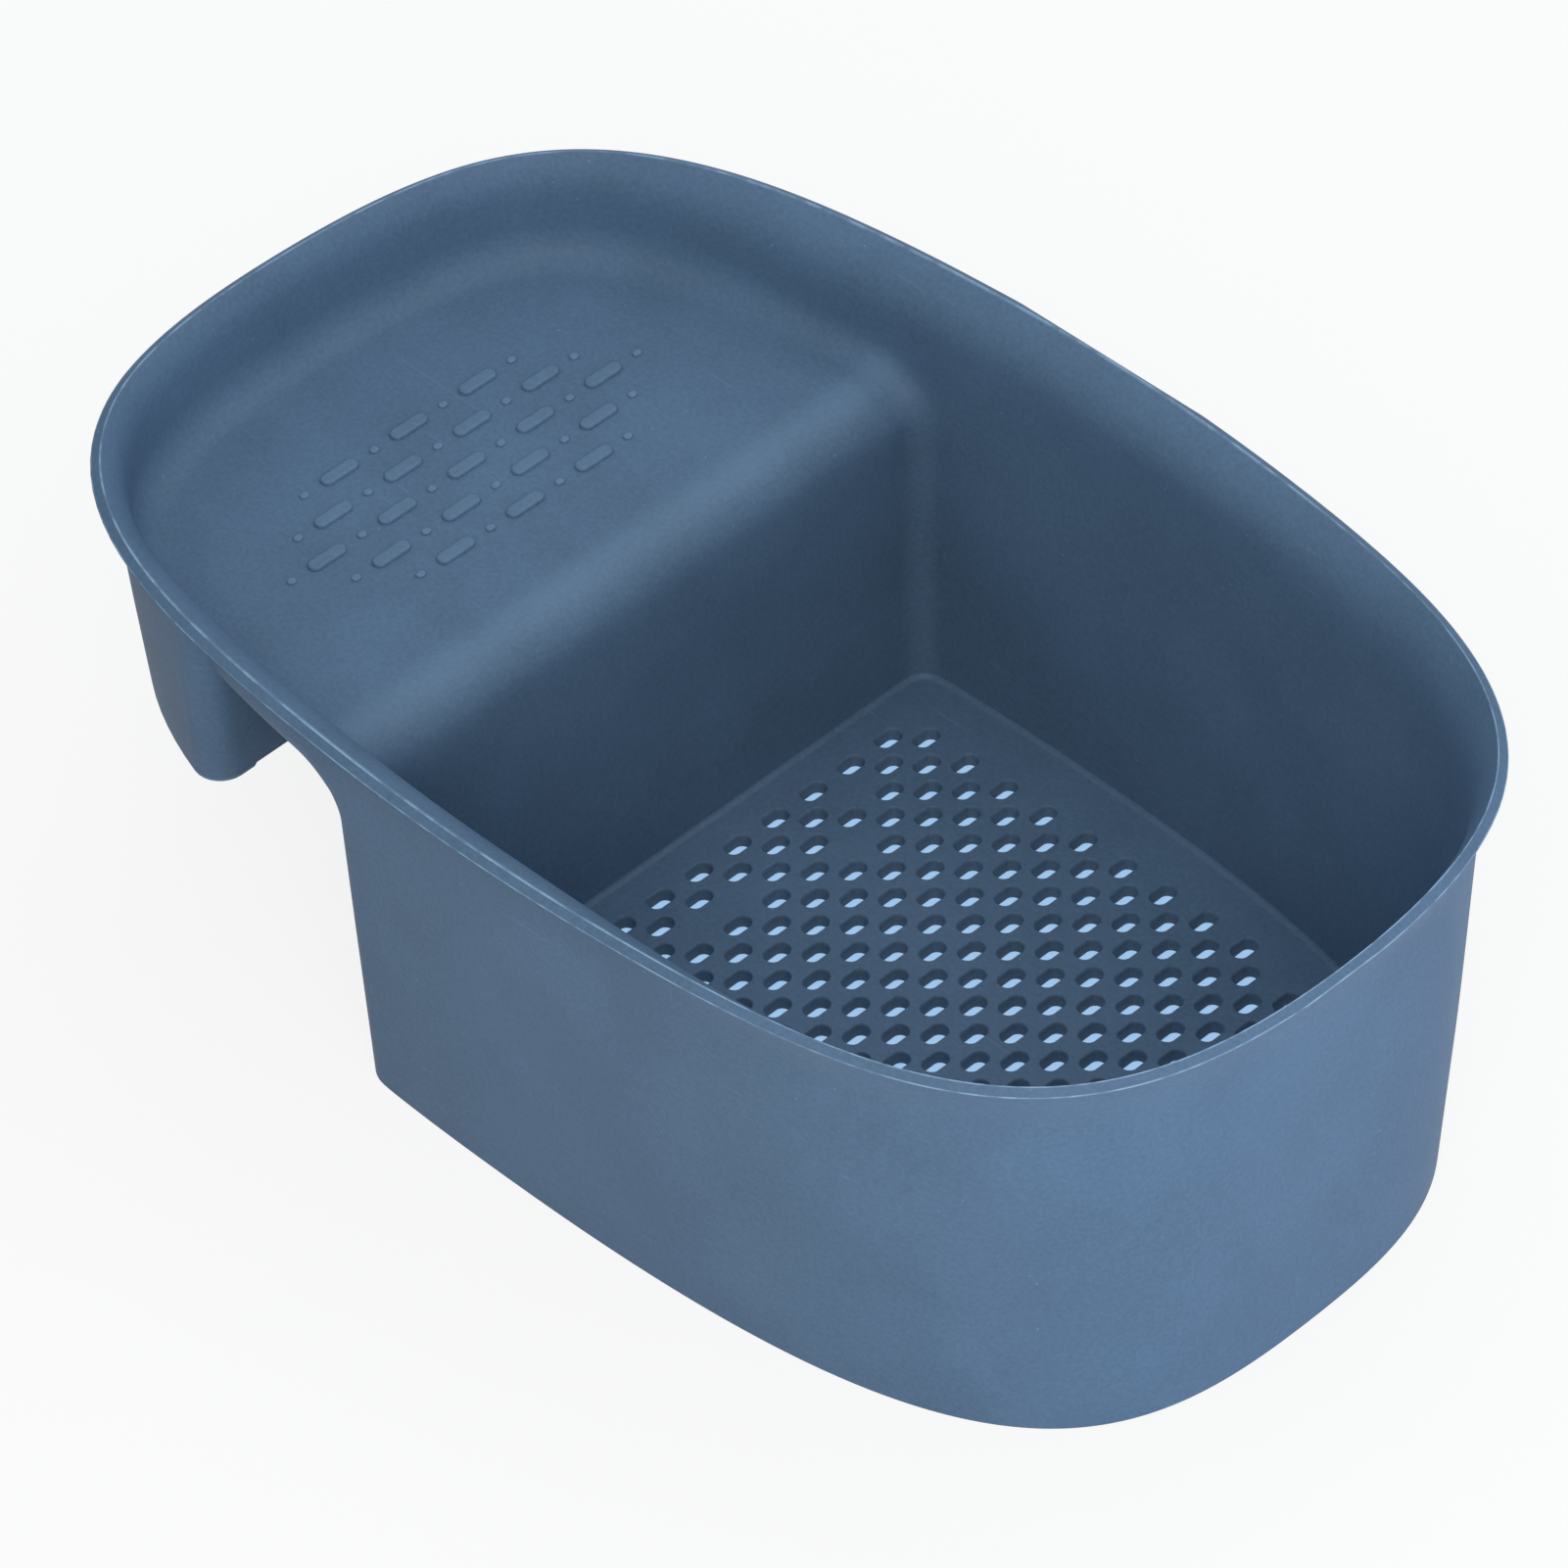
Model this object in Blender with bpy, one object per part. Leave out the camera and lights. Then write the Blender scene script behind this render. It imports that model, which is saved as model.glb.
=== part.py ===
"""Saddle sink drain basket, moulded in slate-blue polypropylene.

An oval tub hangs over the divider of a double sink. A deep basket with a slotted
floor drops into one bowl, a shallow shelf bridges the divider, and a D-shaped
skirt below the shelf is the leg on the other side.

Axes: X runs along the length with the basket at +X, Y across, Z up. The origin
is on the surface that the basket stands on, under the middle of the rim.
"""

import math

import bmesh
import bpy
from mathutils import Vector

MM = 0.001

# Overall sizes.
RIM_LENGTH = 272.0 * MM
RIM_WIDTH = 170.6 * MM
RIM_SQUARENESS = 3.0
HEIGHT = 94.6 * MM
WALL = 2.1 * MM
SEAM = 0.3 * MM

# Rim and flared upper wall of the basket. The rim is cut square to the flare, so its
# outer edge lies a little below its inner edge.
LIP_HEIGHT = 4.1 * MM
FLARE_RADIUS = 30.0 * MM
FLARE_ANGLE = math.radians(33.0)
WALL_DRAFT = math.radians(4.5)

# Basket, with the wall that faces the sink divider.
FLOOR_THICKNESS = 3.0 * MM
DIVIDER_X = -39.3 * MM
DIVIDER_DRAFT = math.radians(2.0)
CORNER_RADIUS = 4.0 * MM

# Slots of the drain floor. Every other row is shifted by half a pitch, which puts the
# rows a quarter pitch to either side of the middle. A few places stay solid.
SLOT_PITCH_X = 10.25 * MM
SLOT_PITCH_Y = 10.0 * MM
SLOT_LENGTH = 5.6 * MM
SLOT_WIDTH = 3.0 * MM
SLOT_FIRST_ROW_X = -30.0 * MM
SLOT_MARGIN = 12.6 * MM
SLOT_ROW_SHIFT = 0.25
SOLID_PLACES = ((1, 3.75), (2, 0.25), (2, -0.75), (3, 2.75))

# Shelf over the divider.
SHELF_DEPTH = 22.1 * MM
SHELF_WALL_DRAFT = math.radians(15.0)
SHELF_FILLET = 7.0 * MM
FRONT_ROLL_RADIUS = 9.0 * MM

# Raised grips of the shelf.
GRIP_CENTRE_X = -84.9 * MM
GRIP_COLUMN_PITCH = 7.8 * MM
GRIP_PITCH_Y = 17.4 * MM
GRIP_COLUMNS = (3, 4, 5, 4, 3)
GRIP_LENGTH = 9.6 * MM
GRIP_WIDTH = 3.0 * MM
GRIP_HEIGHT = 0.8 * MM
DOT_LENGTH = 2.8 * MM
DOT_WIDTH = 2.2 * MM
DOT_HEIGHT = 0.6 * MM
PAD_NARROWING = 0.4
PAD_SHOULDER = 0.33

# Leg on the far side of the divider.
LEG_BOTTOM_Z = 44.0 * MM
LEG_FRONT_X = -75.0 * MM
LEG_FRONT_DRAFT = math.radians(4.0)
LEG_SIDE_INSET = 4.2 * MM
LEG_SIDE_DRAFT = math.radians(3.0)
LEG_CORNER_RADIUS = 5.5 * MM

# Fineness of the round shapes.
RIM_STEPS = 80
CORNER_STEPS = 4
ARC_STEPS = 4
SLOT_END_STEPS = 2
GRIP_END_STEPS = 4
DOT_END_STEPS = 2
SEARCH_STEPS = 50
SMOOTH_ANGLE = math.radians(35.0)

COLOUR = (0.095, 0.160, 0.250, 1.0)
ROUGHNESS = 0.5

# Sizes that follow from the ones above.
FLOOR_TOP = FLOOR_THICKNESS
SHELF_TOP = HEIGHT - SHELF_DEPTH
SHELF_UNDERSIDE = SHELF_TOP - WALL
WALL_TOP = HEIGHT - LIP_HEIGHT - SEAM
OUTER_EDGE_Z = HEIGHT - WALL * math.sin(FLARE_ANGLE)
FLARE_CENTRE_Z = OUTER_EDGE_Z - FLARE_RADIUS * math.sin(FLARE_ANGLE)
FLARE_CENTRE_INSET = FLARE_RADIUS * math.cos(FLARE_ANGLE)
REACH = 2.0 * RIM_LENGTH


def clear_scene():
    for thing in list(bpy.data.objects):
        bpy.data.objects.remove(thing, do_unlink=True)


def plastic(name):
    """The piece's own copy of the matt blue plastic."""
    material = bpy.data.materials.new(name)
    material.use_nodes = True
    shader = material.node_tree.nodes["Principled BSDF"]
    shader.inputs["Base Color"].default_value = COLOUR
    shader.inputs["Roughness"].default_value = ROUGHNESS
    shader.inputs["Metallic"].default_value = 0.0
    return material


def rim_point(angle, inset):
    """Point on the rim's oval, moved in by inset, with the outward normal there."""
    half_x = RIM_LENGTH / 2
    half_y = RIM_WIDTH / 2
    c = math.cos(angle)
    s = math.sin(angle)
    size = (abs(c) ** RIM_SQUARENESS + abs(s) ** RIM_SQUARENESS) ** (-1 / RIM_SQUARENESS)
    u = c * size
    v = s * size
    power = RIM_SQUARENESS - 1
    slope_x = math.copysign(abs(u) ** power, u) / half_x
    slope_y = math.copysign(abs(v) ** power, v) / half_y
    normal = Vector((slope_x, slope_y)).normalized()
    return Vector((u * half_x, v * half_y)) - normal * inset, normal


def angle_at_x(x, inset):
    """Angle, between 0 and pi, where the inset oval crosses the given x."""
    low = 0.0
    high = math.pi
    for _ in range(SEARCH_STEPS):
        middle = (low + high) / 2
        if rim_point(middle, inset)[0].x > x:
            low = middle
        else:
            high = middle
    return (low + high) / 2


def oval_ring(inset, z):
    ring = []
    for step in range(RIM_STEPS):
        point = rim_point(2 * math.pi * step / RIM_STEPS, inset)[0]
        ring.append(Vector((point.x, point.y, z)))
    return ring


def d_ring(inset, line_x, corner, z):
    """Plan outline of the oval to the right of line_x, with two rounded corners."""
    steps = RIM_STEPS // 2
    meet = angle_at_x(line_x + corner, inset + corner)
    centre, normal = rim_point(meet, inset + corner)
    start = math.atan2(normal.y, normal.x)
    ring = []
    for step in range(steps + 1):
        point = rim_point(meet * (2 * step / steps - 1), inset)[0]
        ring.append(Vector((point.x, point.y, z)))
    arc = []
    for step in range(1, CORNER_STEPS + 1):
        turn = start + (math.pi - start) * step / CORNER_STEPS
        arc.append(Vector((centre.x + corner * math.cos(turn), centre.y + corner * math.sin(turn), z)))
    ring.extend(arc)
    ring.extend(Vector((point.x, -point.y, z)) for point in reversed(arc))
    return ring


def mirrored(ring):
    """The ring on the other side of the YZ plane, still turning the same way."""
    return [Vector((-point.x, point.y, point.z)) for point in reversed(ring)]


def pill_ring(x, y, length, width, end_steps, z):
    """Outline of a long pad or slot with two round ends, lying along Y."""
    radius = width / 2
    straight = (length - width) / 2
    ring = []
    for end in (1, -1):
        for step in range(end_steps + 1):
            turn = math.pi * step / end_steps
            place_x = x + end * radius * math.cos(turn)
            place_y = y + end * (straight + radius * math.sin(turn))
            ring.append(Vector((place_x, place_y, z)))
    return ring


def add_loft(work, rings, closed=False):
    """Faces through rings of equal count; closed joins the last ring to the first."""
    rows = [[work.verts.new(point) for point in ring] for ring in rings]
    pairs = list(zip(rows, rows[1:]))
    if closed:
        pairs.append((rows[-1], rows[0]))
    for lower, upper in pairs:
        for index in range(len(lower)):
            after = (index + 1) % len(lower)
            work.faces.new((lower[index], lower[after], upper[after], upper[index]))
    if not closed:
        work.faces.new(list(reversed(rows[0])))
        work.faces.new(rows[-1])


def solid(name, work):
    """Object from a finished bmesh, with all its faces pointing out."""
    bmesh.ops.recalc_face_normals(work, faces=work.faces)
    if work.calc_volume(signed=True) < 0:
        bmesh.ops.reverse_faces(work, faces=work.faces)
    mesh = bpy.data.meshes.new(name)
    work.to_mesh(mesh)
    work.free()
    thing = bpy.data.objects.new(name, mesh)
    bpy.context.scene.collection.objects.link(thing)
    return thing


def loft(name, rings, closed=False):
    work = bmesh.new()
    add_loft(work, rings, closed)
    return solid(name, work)


def prism(name, outline, low_y, high_y):
    """Solid with an outline in the XZ plane, between two values of Y."""
    near = [Vector((x, low_y, z)) for x, z in outline]
    far = [Vector((x, high_y, z)) for x, z in outline]
    return loft(name, [near, far])


def slab(name, low_x, high_x, low_z, high_z):
    """Block between two values of X and of Z, wider than the part."""
    corners = [(low_x, low_z), (high_x, low_z), (high_x, high_z), (low_x, high_z)]
    return prism(name, corners, -REACH, REACH)


def combine(thing, tool, operation):
    """Carry out one Boolean step and drop the tool."""
    step = thing.modifiers.new(operation, "BOOLEAN")
    step.operation = operation
    step.solver = "EXACT"
    step.object = tool
    bpy.context.view_layer.update()
    depsgraph = bpy.context.evaluated_depsgraph_get()
    result = bpy.data.meshes.new_from_object(thing.evaluated_get(depsgraph))
    thing.modifiers.clear()
    thing.data = result
    bpy.data.objects.remove(tool, do_unlink=True)


def finish(thing):
    """Give a piece its material and smooth its round faces."""
    thing.data.materials.clear()
    thing.data.materials.append(plastic(thing.name))
    thing.data.shade_smooth()
    thing.data.set_sharp_from_angle(angle=SMOOTH_ANGLE)
    return thing


def wall_inset(z, depth):
    """Inset of the basket wall at height z; depth 0 is its outside, WALL its inside."""
    radius = FLARE_RADIUS + depth
    sine = (z - FLARE_CENTRE_Z) / radius
    if sine > math.sin(WALL_DRAFT):
        return radius * math.sqrt(1 - sine * sine) - FLARE_CENTRE_INSET
    drop = radius * math.sin(WALL_DRAFT) + FLARE_CENTRE_Z - z
    return radius * math.cos(WALL_DRAFT) - FLARE_CENTRE_INSET + drop * math.tan(WALL_DRAFT)


def wall_heights(low, high):
    """Heights of a basket wall's rings: its straight part, then steps up the flare."""
    bend = FLARE_CENTRE_Z + FLARE_RADIUS * math.sin(WALL_DRAFT)
    if high <= bend:
        return [low, high]
    heights = [low]
    for step in range(ARC_STEPS + 1):
        height = bend + (high - bend) * step / ARC_STEPS
        if height > low:
            heights.append(height)
    return heights


def divider_x(z, depth):
    """Face of the divider wall at height z; depth 0 is its outside, WALL its inside."""
    inner = DIVIDER_X - (z - FLOOR_TOP) * math.tan(DIVIDER_DRAFT)
    return inner - (WALL - depth) / math.cos(DIVIDER_DRAFT)


def basket_ring(z, depth):
    """Outline of the basket at height z; depth 0 is its outside, WALL its inside."""
    return d_ring(wall_inset(z, depth), divider_x(z, depth), CORNER_RADIUS + WALL - depth, z)


def basket_shell(name, low, high):
    heights = wall_heights(low, high)
    outer = [basket_ring(z, 0.0) for z in heights]
    inner = [basket_ring(z, WALL) for z in reversed(heights)]
    return loft(name, outer + inner, closed=True)


def corner_plane(side):
    """Half space past the plane where the basket's corners meet its side walls."""
    run = CORNER_RADIUS + side * SEAM / 2
    low = (divider_x(-HEIGHT, WALL) + run, -HEIGHT)
    high = (divider_x(2 * HEIGHT, WALL) + run, 2 * HEIGHT)
    far = side * REACH
    return prism("corner_plane", [low, (far, low[1]), (far, high[1]), high], -REACH, REACH)


def roll_geometry():
    """Centre of the shelf's rounded front edge and the height where it meets the wall."""
    meet_z = SHELF_TOP - FRONT_ROLL_RADIUS * (1 - math.sin(DIVIDER_DRAFT))
    centre_x = divider_x(meet_z, WALL) - FRONT_ROLL_RADIUS * math.cos(DIVIDER_DRAFT)
    return centre_x, SHELF_TOP - FRONT_ROLL_RADIUS, meet_z


def roll_arc(radius):
    """Quarter turn from the top of the front edge down to the divider wall."""
    centre_x, centre_z, _ = roll_geometry()
    points = []
    for step in range(2 * ARC_STEPS + 1):
        turn = math.pi / 2 + (DIVIDER_DRAFT - math.pi / 2) * step / (2 * ARC_STEPS)
        points.append((centre_x + radius * math.cos(turn), centre_z + radius * math.sin(turn)))
    return points


def rim_lip():
    """Cut edge that runs all round the top."""
    low = HEIGHT - LIP_HEIGHT
    rings = [
        oval_ring(wall_inset(low, 0.0), low),
        oval_ring(wall_inset(OUTER_EDGE_Z, 0.0), OUTER_EDGE_Z),
        oval_ring(wall_inset(HEIGHT, WALL), HEIGHT),
        oval_ring(wall_inset(low, WALL), low),
    ]
    return finish(loft("rim_lip", rings, closed=True))


def basket_wall():
    """Deep side wall round the basket's end."""
    wall = basket_shell("basket_wall", FLOOR_TOP + SEAM, WALL_TOP)
    combine(wall, corner_plane(1), "INTERSECT")
    return finish(wall)


def divider_wall():
    """Wall beside the sink divider, with the basket's two rounded corners."""
    meet_z = roll_geometry()[2]
    wall = basket_shell("divider_wall", FLOOR_TOP + SEAM, meet_z - SEAM / 2)
    combine(wall, corner_plane(-1), "INTERSECT")
    return finish(wall)


def slot_places():
    """Centres of the slots: staggered rows, kept clear of the basket's wall."""
    edge = wall_inset(FLOOR_TOP, WALL) + SLOT_MARGIN
    last_x = RIM_LENGTH / 2 - edge
    reach = int(RIM_WIDTH / SLOT_PITCH_Y)
    places = []
    for row in range(int(2 * RIM_LENGTH / SLOT_PITCH_X)):
        x = SLOT_FIRST_ROW_X + row * SLOT_PITCH_X / 2
        if x > last_x:
            continue
        limit = rim_point(angle_at_x(x, edge), edge)[0].y
        shift = -SLOT_ROW_SHIFT if row % 2 else SLOT_ROW_SHIFT
        for column in range(-reach, reach + 1):
            place = column + shift
            if abs(place) * SLOT_PITCH_Y <= limit and (row, place) not in SOLID_PLACES:
                places.append((x, place * SLOT_PITCH_Y))
    return places


def drain_floor():
    """Flat floor with its slots, which the walls stand on."""
    floor = loft("drain_floor", [basket_ring(0.0, 0.0), basket_ring(FLOOR_TOP, 0.0)])
    work = bmesh.new()
    for x, y in slot_places():
        rings = []
        for z in (-FLOOR_THICKNESS, FLOOR_TOP + FLOOR_THICKNESS):
            rings.append(pill_ring(x, y, SLOT_LENGTH, SLOT_WIDTH, SLOT_END_STEPS, z))
        add_loft(work, rings)
    combine(floor, solid("slots", work), "DIFFERENCE")
    return finish(floor)


def bowl_profile(growth):
    """Outer and inner points (inset, z) of the shelf's dish, the outside grown by growth."""
    angles = []
    for step in range(ARC_STEPS + 1):
        angles.append(SHELF_WALL_DRAFT + (math.pi / 2 - SHELF_WALL_DRAFT) * step / ARC_STEPS)
    top_inset = wall_inset(WALL_TOP, WALL)
    bend_z = SHELF_TOP + SHELF_FILLET * (1 - math.sin(SHELF_WALL_DRAFT))
    bend_inset = top_inset + (WALL_TOP - bend_z) * math.tan(SHELF_WALL_DRAFT)
    skin = WALL + growth
    inner = [(top_inset, WALL_TOP)]
    outer = [(top_inset - skin / math.cos(SHELF_WALL_DRAFT), WALL_TOP)]
    for angle in angles:
        inset = bend_inset + SHELF_FILLET * (math.cos(SHELF_WALL_DRAFT) - math.cos(angle))
        z = SHELF_TOP + SHELF_FILLET * (1 - math.sin(angle))
        inner.append((inset, z))
        outer.append((inset - skin * math.cos(angle), z - skin * math.sin(angle)))
    return outer, inner


def shelf_bowl(name):
    outer, inner = bowl_profile(0.0)
    rings = [oval_ring(inset, z) for inset, z in reversed(outer)]
    rings += [oval_ring(inset, z) for inset, z in inner]
    return loft(name, rings)


def flat_floor(clearance):
    """Prism over the flat of the shelf, back from its front edge."""
    inset = bowl_profile(0.0)[1][-1][0] + clearance
    heights = (SHELF_UNDERSIDE - WALL, SHELF_TOP + WALL)
    flat = loft("flat", [oval_ring(inset, z) for z in heights])
    combine(flat, slab("front", roll_geometry()[0] - clearance, REACH, -REACH, REACH), "DIFFERENCE")
    return flat


def space_under_shelf():
    """Everything below the shelf and the inside of its front roll."""
    corner_x, corner_z = roll_arc(FRONT_ROLL_RADIUS - WALL)[-1]
    outline = [(-REACH, SHELF_UNDERSIDE)] + roll_arc(FRONT_ROLL_RADIUS - WALL)
    outline += [(corner_x, corner_z - HEIGHT), (-REACH, corner_z - HEIGHT)]
    return prism("space_under_shelf", outline, -REACH, REACH)


def upper_sides():
    """Basket's side walls carried on past the ends of the shelf's front roll."""
    low = roll_geometry()[2] + SEAM / 2
    heights = wall_heights(low, WALL_TOP)
    outer = [oval_ring(wall_inset(z, 0.0), z) for z in heights]
    inner = [oval_ring(wall_inset(z, WALL), z) for z in reversed(heights)]
    sides = loft("upper_sides", outer + inner, closed=True)
    combine(sides, slab("behind", -REACH, roll_geometry()[0] - WALL, -REACH, REACH), "DIFFERENCE")
    combine(sides, corner_plane(-1), "INTERSECT")
    combine(sides, space_under_shelf(), "DIFFERENCE")
    return sides


def shelf_wall():
    """Sloping wall round the shelf, ending where the basket's side walls begin."""
    wall = shelf_bowl("shelf_wall")
    combine(wall, flat_floor(0.0), "DIFFERENCE")
    combine(wall, slab("front", roll_geometry()[0], REACH, -REACH, REACH), "DIFFERENCE")
    combine(wall, upper_sides(), "UNION")
    return finish(wall)


def add_pad(work, x, y, length, width, height, end_steps):
    """Low domed pad with its foot just below the shelf's surface."""
    narrowing = width * PAD_NARROWING
    add_loft(work, [
        pill_ring(x, y, length, width, end_steps, SHELF_TOP - height / 2),
        pill_ring(x, y, length, width, end_steps, SHELF_TOP + height * PAD_SHOULDER),
        pill_ring(x, y, length - narrowing, width - narrowing, end_steps, SHELF_TOP + height),
    ])


def grip_places():
    """Centres of the grips, and of the dots between and beyond the grips of a column."""
    grips = []
    dots = []
    middle = (len(GRIP_COLUMNS) - 1) / 2
    for column, count in enumerate(GRIP_COLUMNS):
        x = GRIP_CENTRE_X + (column - middle) * GRIP_COLUMN_PITCH
        for index in range(count):
            grips.append((x, (index - (count - 1) / 2) * GRIP_PITCH_Y))
        for index in range(count + 1):
            dots.append((x, (index - count / 2) * GRIP_PITCH_Y))
    return grips, dots


def shelf_floor():
    """Flat floor of the shelf with its raised grips."""
    floor = shelf_bowl("shelf_floor")
    combine(floor, flat_floor(SEAM), "INTERSECT")
    work = bmesh.new()
    grips, dots = grip_places()
    for x, y in grips:
        add_pad(work, x, y, GRIP_LENGTH, GRIP_WIDTH, GRIP_HEIGHT, GRIP_END_STEPS)
    for x, y in dots:
        add_pad(work, x, y, DOT_LENGTH, DOT_WIDTH, DOT_HEIGHT, DOT_END_STEPS)
    combine(floor, solid("grips", work), "UNION")
    return finish(floor)


def shelf_front_roll():
    """Rounded edge where the shelf rolls down into the divider wall."""
    low = roll_geometry()[2] + SEAM / 2
    outline = roll_arc(FRONT_ROLL_RADIUS) + roll_arc(FRONT_ROLL_RADIUS - WALL)[::-1]
    roll = prism("shelf_front_roll", outline, -RIM_WIDTH / 2, RIM_WIDTH / 2)
    heights = wall_heights(FLOOR_TOP, WALL_TOP)
    core = loft("core", [oval_ring(wall_inset(z, WALL) + SEAM, z) for z in heights])
    combine(roll, core, "INTERSECT")
    combine(roll, slab("above", -REACH, REACH, low, REACH), "INTERSECT")
    return finish(roll)


def leg_ring(z, depth):
    """Outline of the leg at height z; depth 0 is its outside, WALL its inside."""
    drop = SHELF_UNDERSIDE - z
    inset = LEG_SIDE_INSET + drop * math.tan(LEG_SIDE_DRAFT) + depth
    front = LEG_FRONT_X - drop * math.tan(LEG_FRONT_DRAFT) - depth
    return mirrored(d_ring(inset, -front, LEG_CORNER_RADIUS - depth, z))


def leg_plane(side):
    """Half space past the plane where the leg's corners meet its outer wall."""
    lean = (SHELF_UNDERSIDE - LEG_BOTTOM_Z) * math.tan(LEG_FRONT_DRAFT)
    x = LEG_FRONT_X - lean - LEG_CORNER_RADIUS
    ends = sorted((x + side * SEAM / 2, side * REACH))
    return slab("leg_plane", ends[0], ends[1], -REACH, REACH)


def leg_wall(name, side):
    """Skirt of the leg on one side of the plane, cut to fit under the shelf."""
    top = WALL_TOP - SHELF_FILLET / 2
    outer = [leg_ring(LEG_BOTTOM_Z, 0.0), leg_ring(top, 0.0)]
    inner = [leg_ring(top, WALL), leg_ring(LEG_BOTTOM_Z, WALL)]
    wall = loft(name, outer + inner, closed=True)
    combine(wall, leg_plane(side), "INTERSECT")
    dish = [oval_ring(inset, z) for inset, z in reversed(bowl_profile(SEAM)[0])]
    dish.append(oval_ring(0.0, HEIGHT))
    combine(wall, loft("dish", dish), "DIFFERENCE")
    return finish(wall)


def leg_front_wall():
    """Flat wall of the leg that faces the sink divider."""
    return leg_wall("leg_front_wall", 1)


def leg_outer_wall():
    """Curved wall of the leg that follows the end of the rim."""
    return leg_wall("leg_outer_wall", -1)


def main():
    clear_scene()
    rim_lip()
    shelf_wall()
    shelf_floor()
    shelf_front_roll()
    divider_wall()
    basket_wall()
    drain_floor()
    leg_front_wall()
    leg_outer_wall()


main()
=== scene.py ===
"""Saddle sink drain basket: the dressed model, the studio floor, the lamps and the camera."""

import math

import bmesh
import bpy
import numpy as np
from mathutils import Matrix, Vector


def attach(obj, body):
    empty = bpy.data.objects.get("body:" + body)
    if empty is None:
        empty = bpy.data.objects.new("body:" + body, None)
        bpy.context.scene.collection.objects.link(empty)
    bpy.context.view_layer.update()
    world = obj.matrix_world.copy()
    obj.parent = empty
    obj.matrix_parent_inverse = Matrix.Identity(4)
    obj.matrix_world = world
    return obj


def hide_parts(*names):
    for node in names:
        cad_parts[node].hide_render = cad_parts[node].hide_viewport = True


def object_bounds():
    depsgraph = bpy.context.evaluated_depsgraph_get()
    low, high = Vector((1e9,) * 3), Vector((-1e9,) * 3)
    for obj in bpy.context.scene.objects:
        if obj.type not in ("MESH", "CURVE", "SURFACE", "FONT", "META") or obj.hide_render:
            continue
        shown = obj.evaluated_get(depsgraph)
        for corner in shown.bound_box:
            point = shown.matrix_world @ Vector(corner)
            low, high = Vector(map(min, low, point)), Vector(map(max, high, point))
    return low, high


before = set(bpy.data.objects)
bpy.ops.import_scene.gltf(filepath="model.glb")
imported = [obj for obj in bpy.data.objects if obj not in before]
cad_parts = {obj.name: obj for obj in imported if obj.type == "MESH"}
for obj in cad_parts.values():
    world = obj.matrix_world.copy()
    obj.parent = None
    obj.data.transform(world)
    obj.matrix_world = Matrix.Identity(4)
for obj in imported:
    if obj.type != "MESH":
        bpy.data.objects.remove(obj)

bl_info = {
    "name": "Sink drain basket",
    "version": (1, 0, 0),
    "blender": (4, 5, 0),
    "location": "3D View > Sidebar > Basket",
    "description": "Builds a saddle sink drain basket in matt blue plastic",
    "category": "Object",
}

MM = 0.001
BOX_LOW, BOX_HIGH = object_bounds()
# Points that are nearer than this to each other or to a level are taken as on it.
TOLERANCE = 0.01 * MM

# Pieces of the moulded shell, and the nodes that they stand for.
STANDS_FOR = {
    "rim_edge": "rim_lip",
    "dish_wall": "shelf_wall",
    "dish_floor": "shelf_floor",
    "front_roll": "shelf_front_roll",
    "saddle_wall": "divider_wall",
    "tub_wall": "basket_wall",
}
PIECES = tuple(STANDS_FOR)

# The cage of the moulded shell. Rows run from the rim down to the drain floor, and
# columns run round the rim from the middle of the shelf's end to the basket's end.
DEPTH_ROWS = (0.0, 1.0, 3.0, 5.5, 8.5, 12.0)
EDGE_ROWS = 2
FIRST_FILLET_ROW = 7
FILLET_LINES = 5
LAST_FILLET_ROW = FIRST_FILLET_ROW + FILLET_LINES - 1
ROLL_START_ROW = 15
ROLL_END_ROW = 19
DIVIDER_HEIGHTS = (56.0, 46.0, 35.0, 24.0, 13.0, 6.0, 2.5, 0.0)
LAST_ROW = ROLL_END_ROW + len(DIVIDER_HEIGHTS)
CORNER_COLUMN = 18
LAST_COLUMN = 48
HALF_FILLET = FILLET_LINES // 2
WALL_COLUMN = CORNER_COLUMN + HALF_FILLET
EDGE_COLUMN = CORNER_COLUMN - HALF_FILLET
# Steps between the columns along the dish, from the corner towards the shelf's end.
DISH_STEPS = (3.5, 3.5, 4.0, 5.0, 6.0, 7.0, 8.0, 9.0) + (10.0,) * (CORNER_COLUMN - 8)
# Columns over which the fillet's lines begin to lean from the columns.
LEAN_START, LEAN_LENGTH = 4, 10.0
# X on the rim of the basket's first column beyond the fillet, and of the basket's middle.
BASKET_START = -29.0 * MM
BASKET_MIDDLE = 48.0 * MM
SMOOTH_LEVELS = 2
GUIDE = 0.2
OVAL_POINTS = 4001
TRACK_POINTS = 800

# Places along X where the side wall begins to turn from its form at the saddle to the
# form at either end, and how far it takes.
TO_SHELF = (-70.0 * MM, -60.0 * MM)
TO_END = (5.0 * MM, 110.0 * MM)
# The dish's fillet is followed on the rim's oval moved in by this much.
TRACK_INSET = 9.0 * MM
# How far back from the roll the corner's fillet grows to the dish's.
FILLET_CHANGE = 45.0 * MM
# How far back from the roll the rows begin to bunch towards it.
ROLL_EASE = 12.0 * MM

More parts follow.
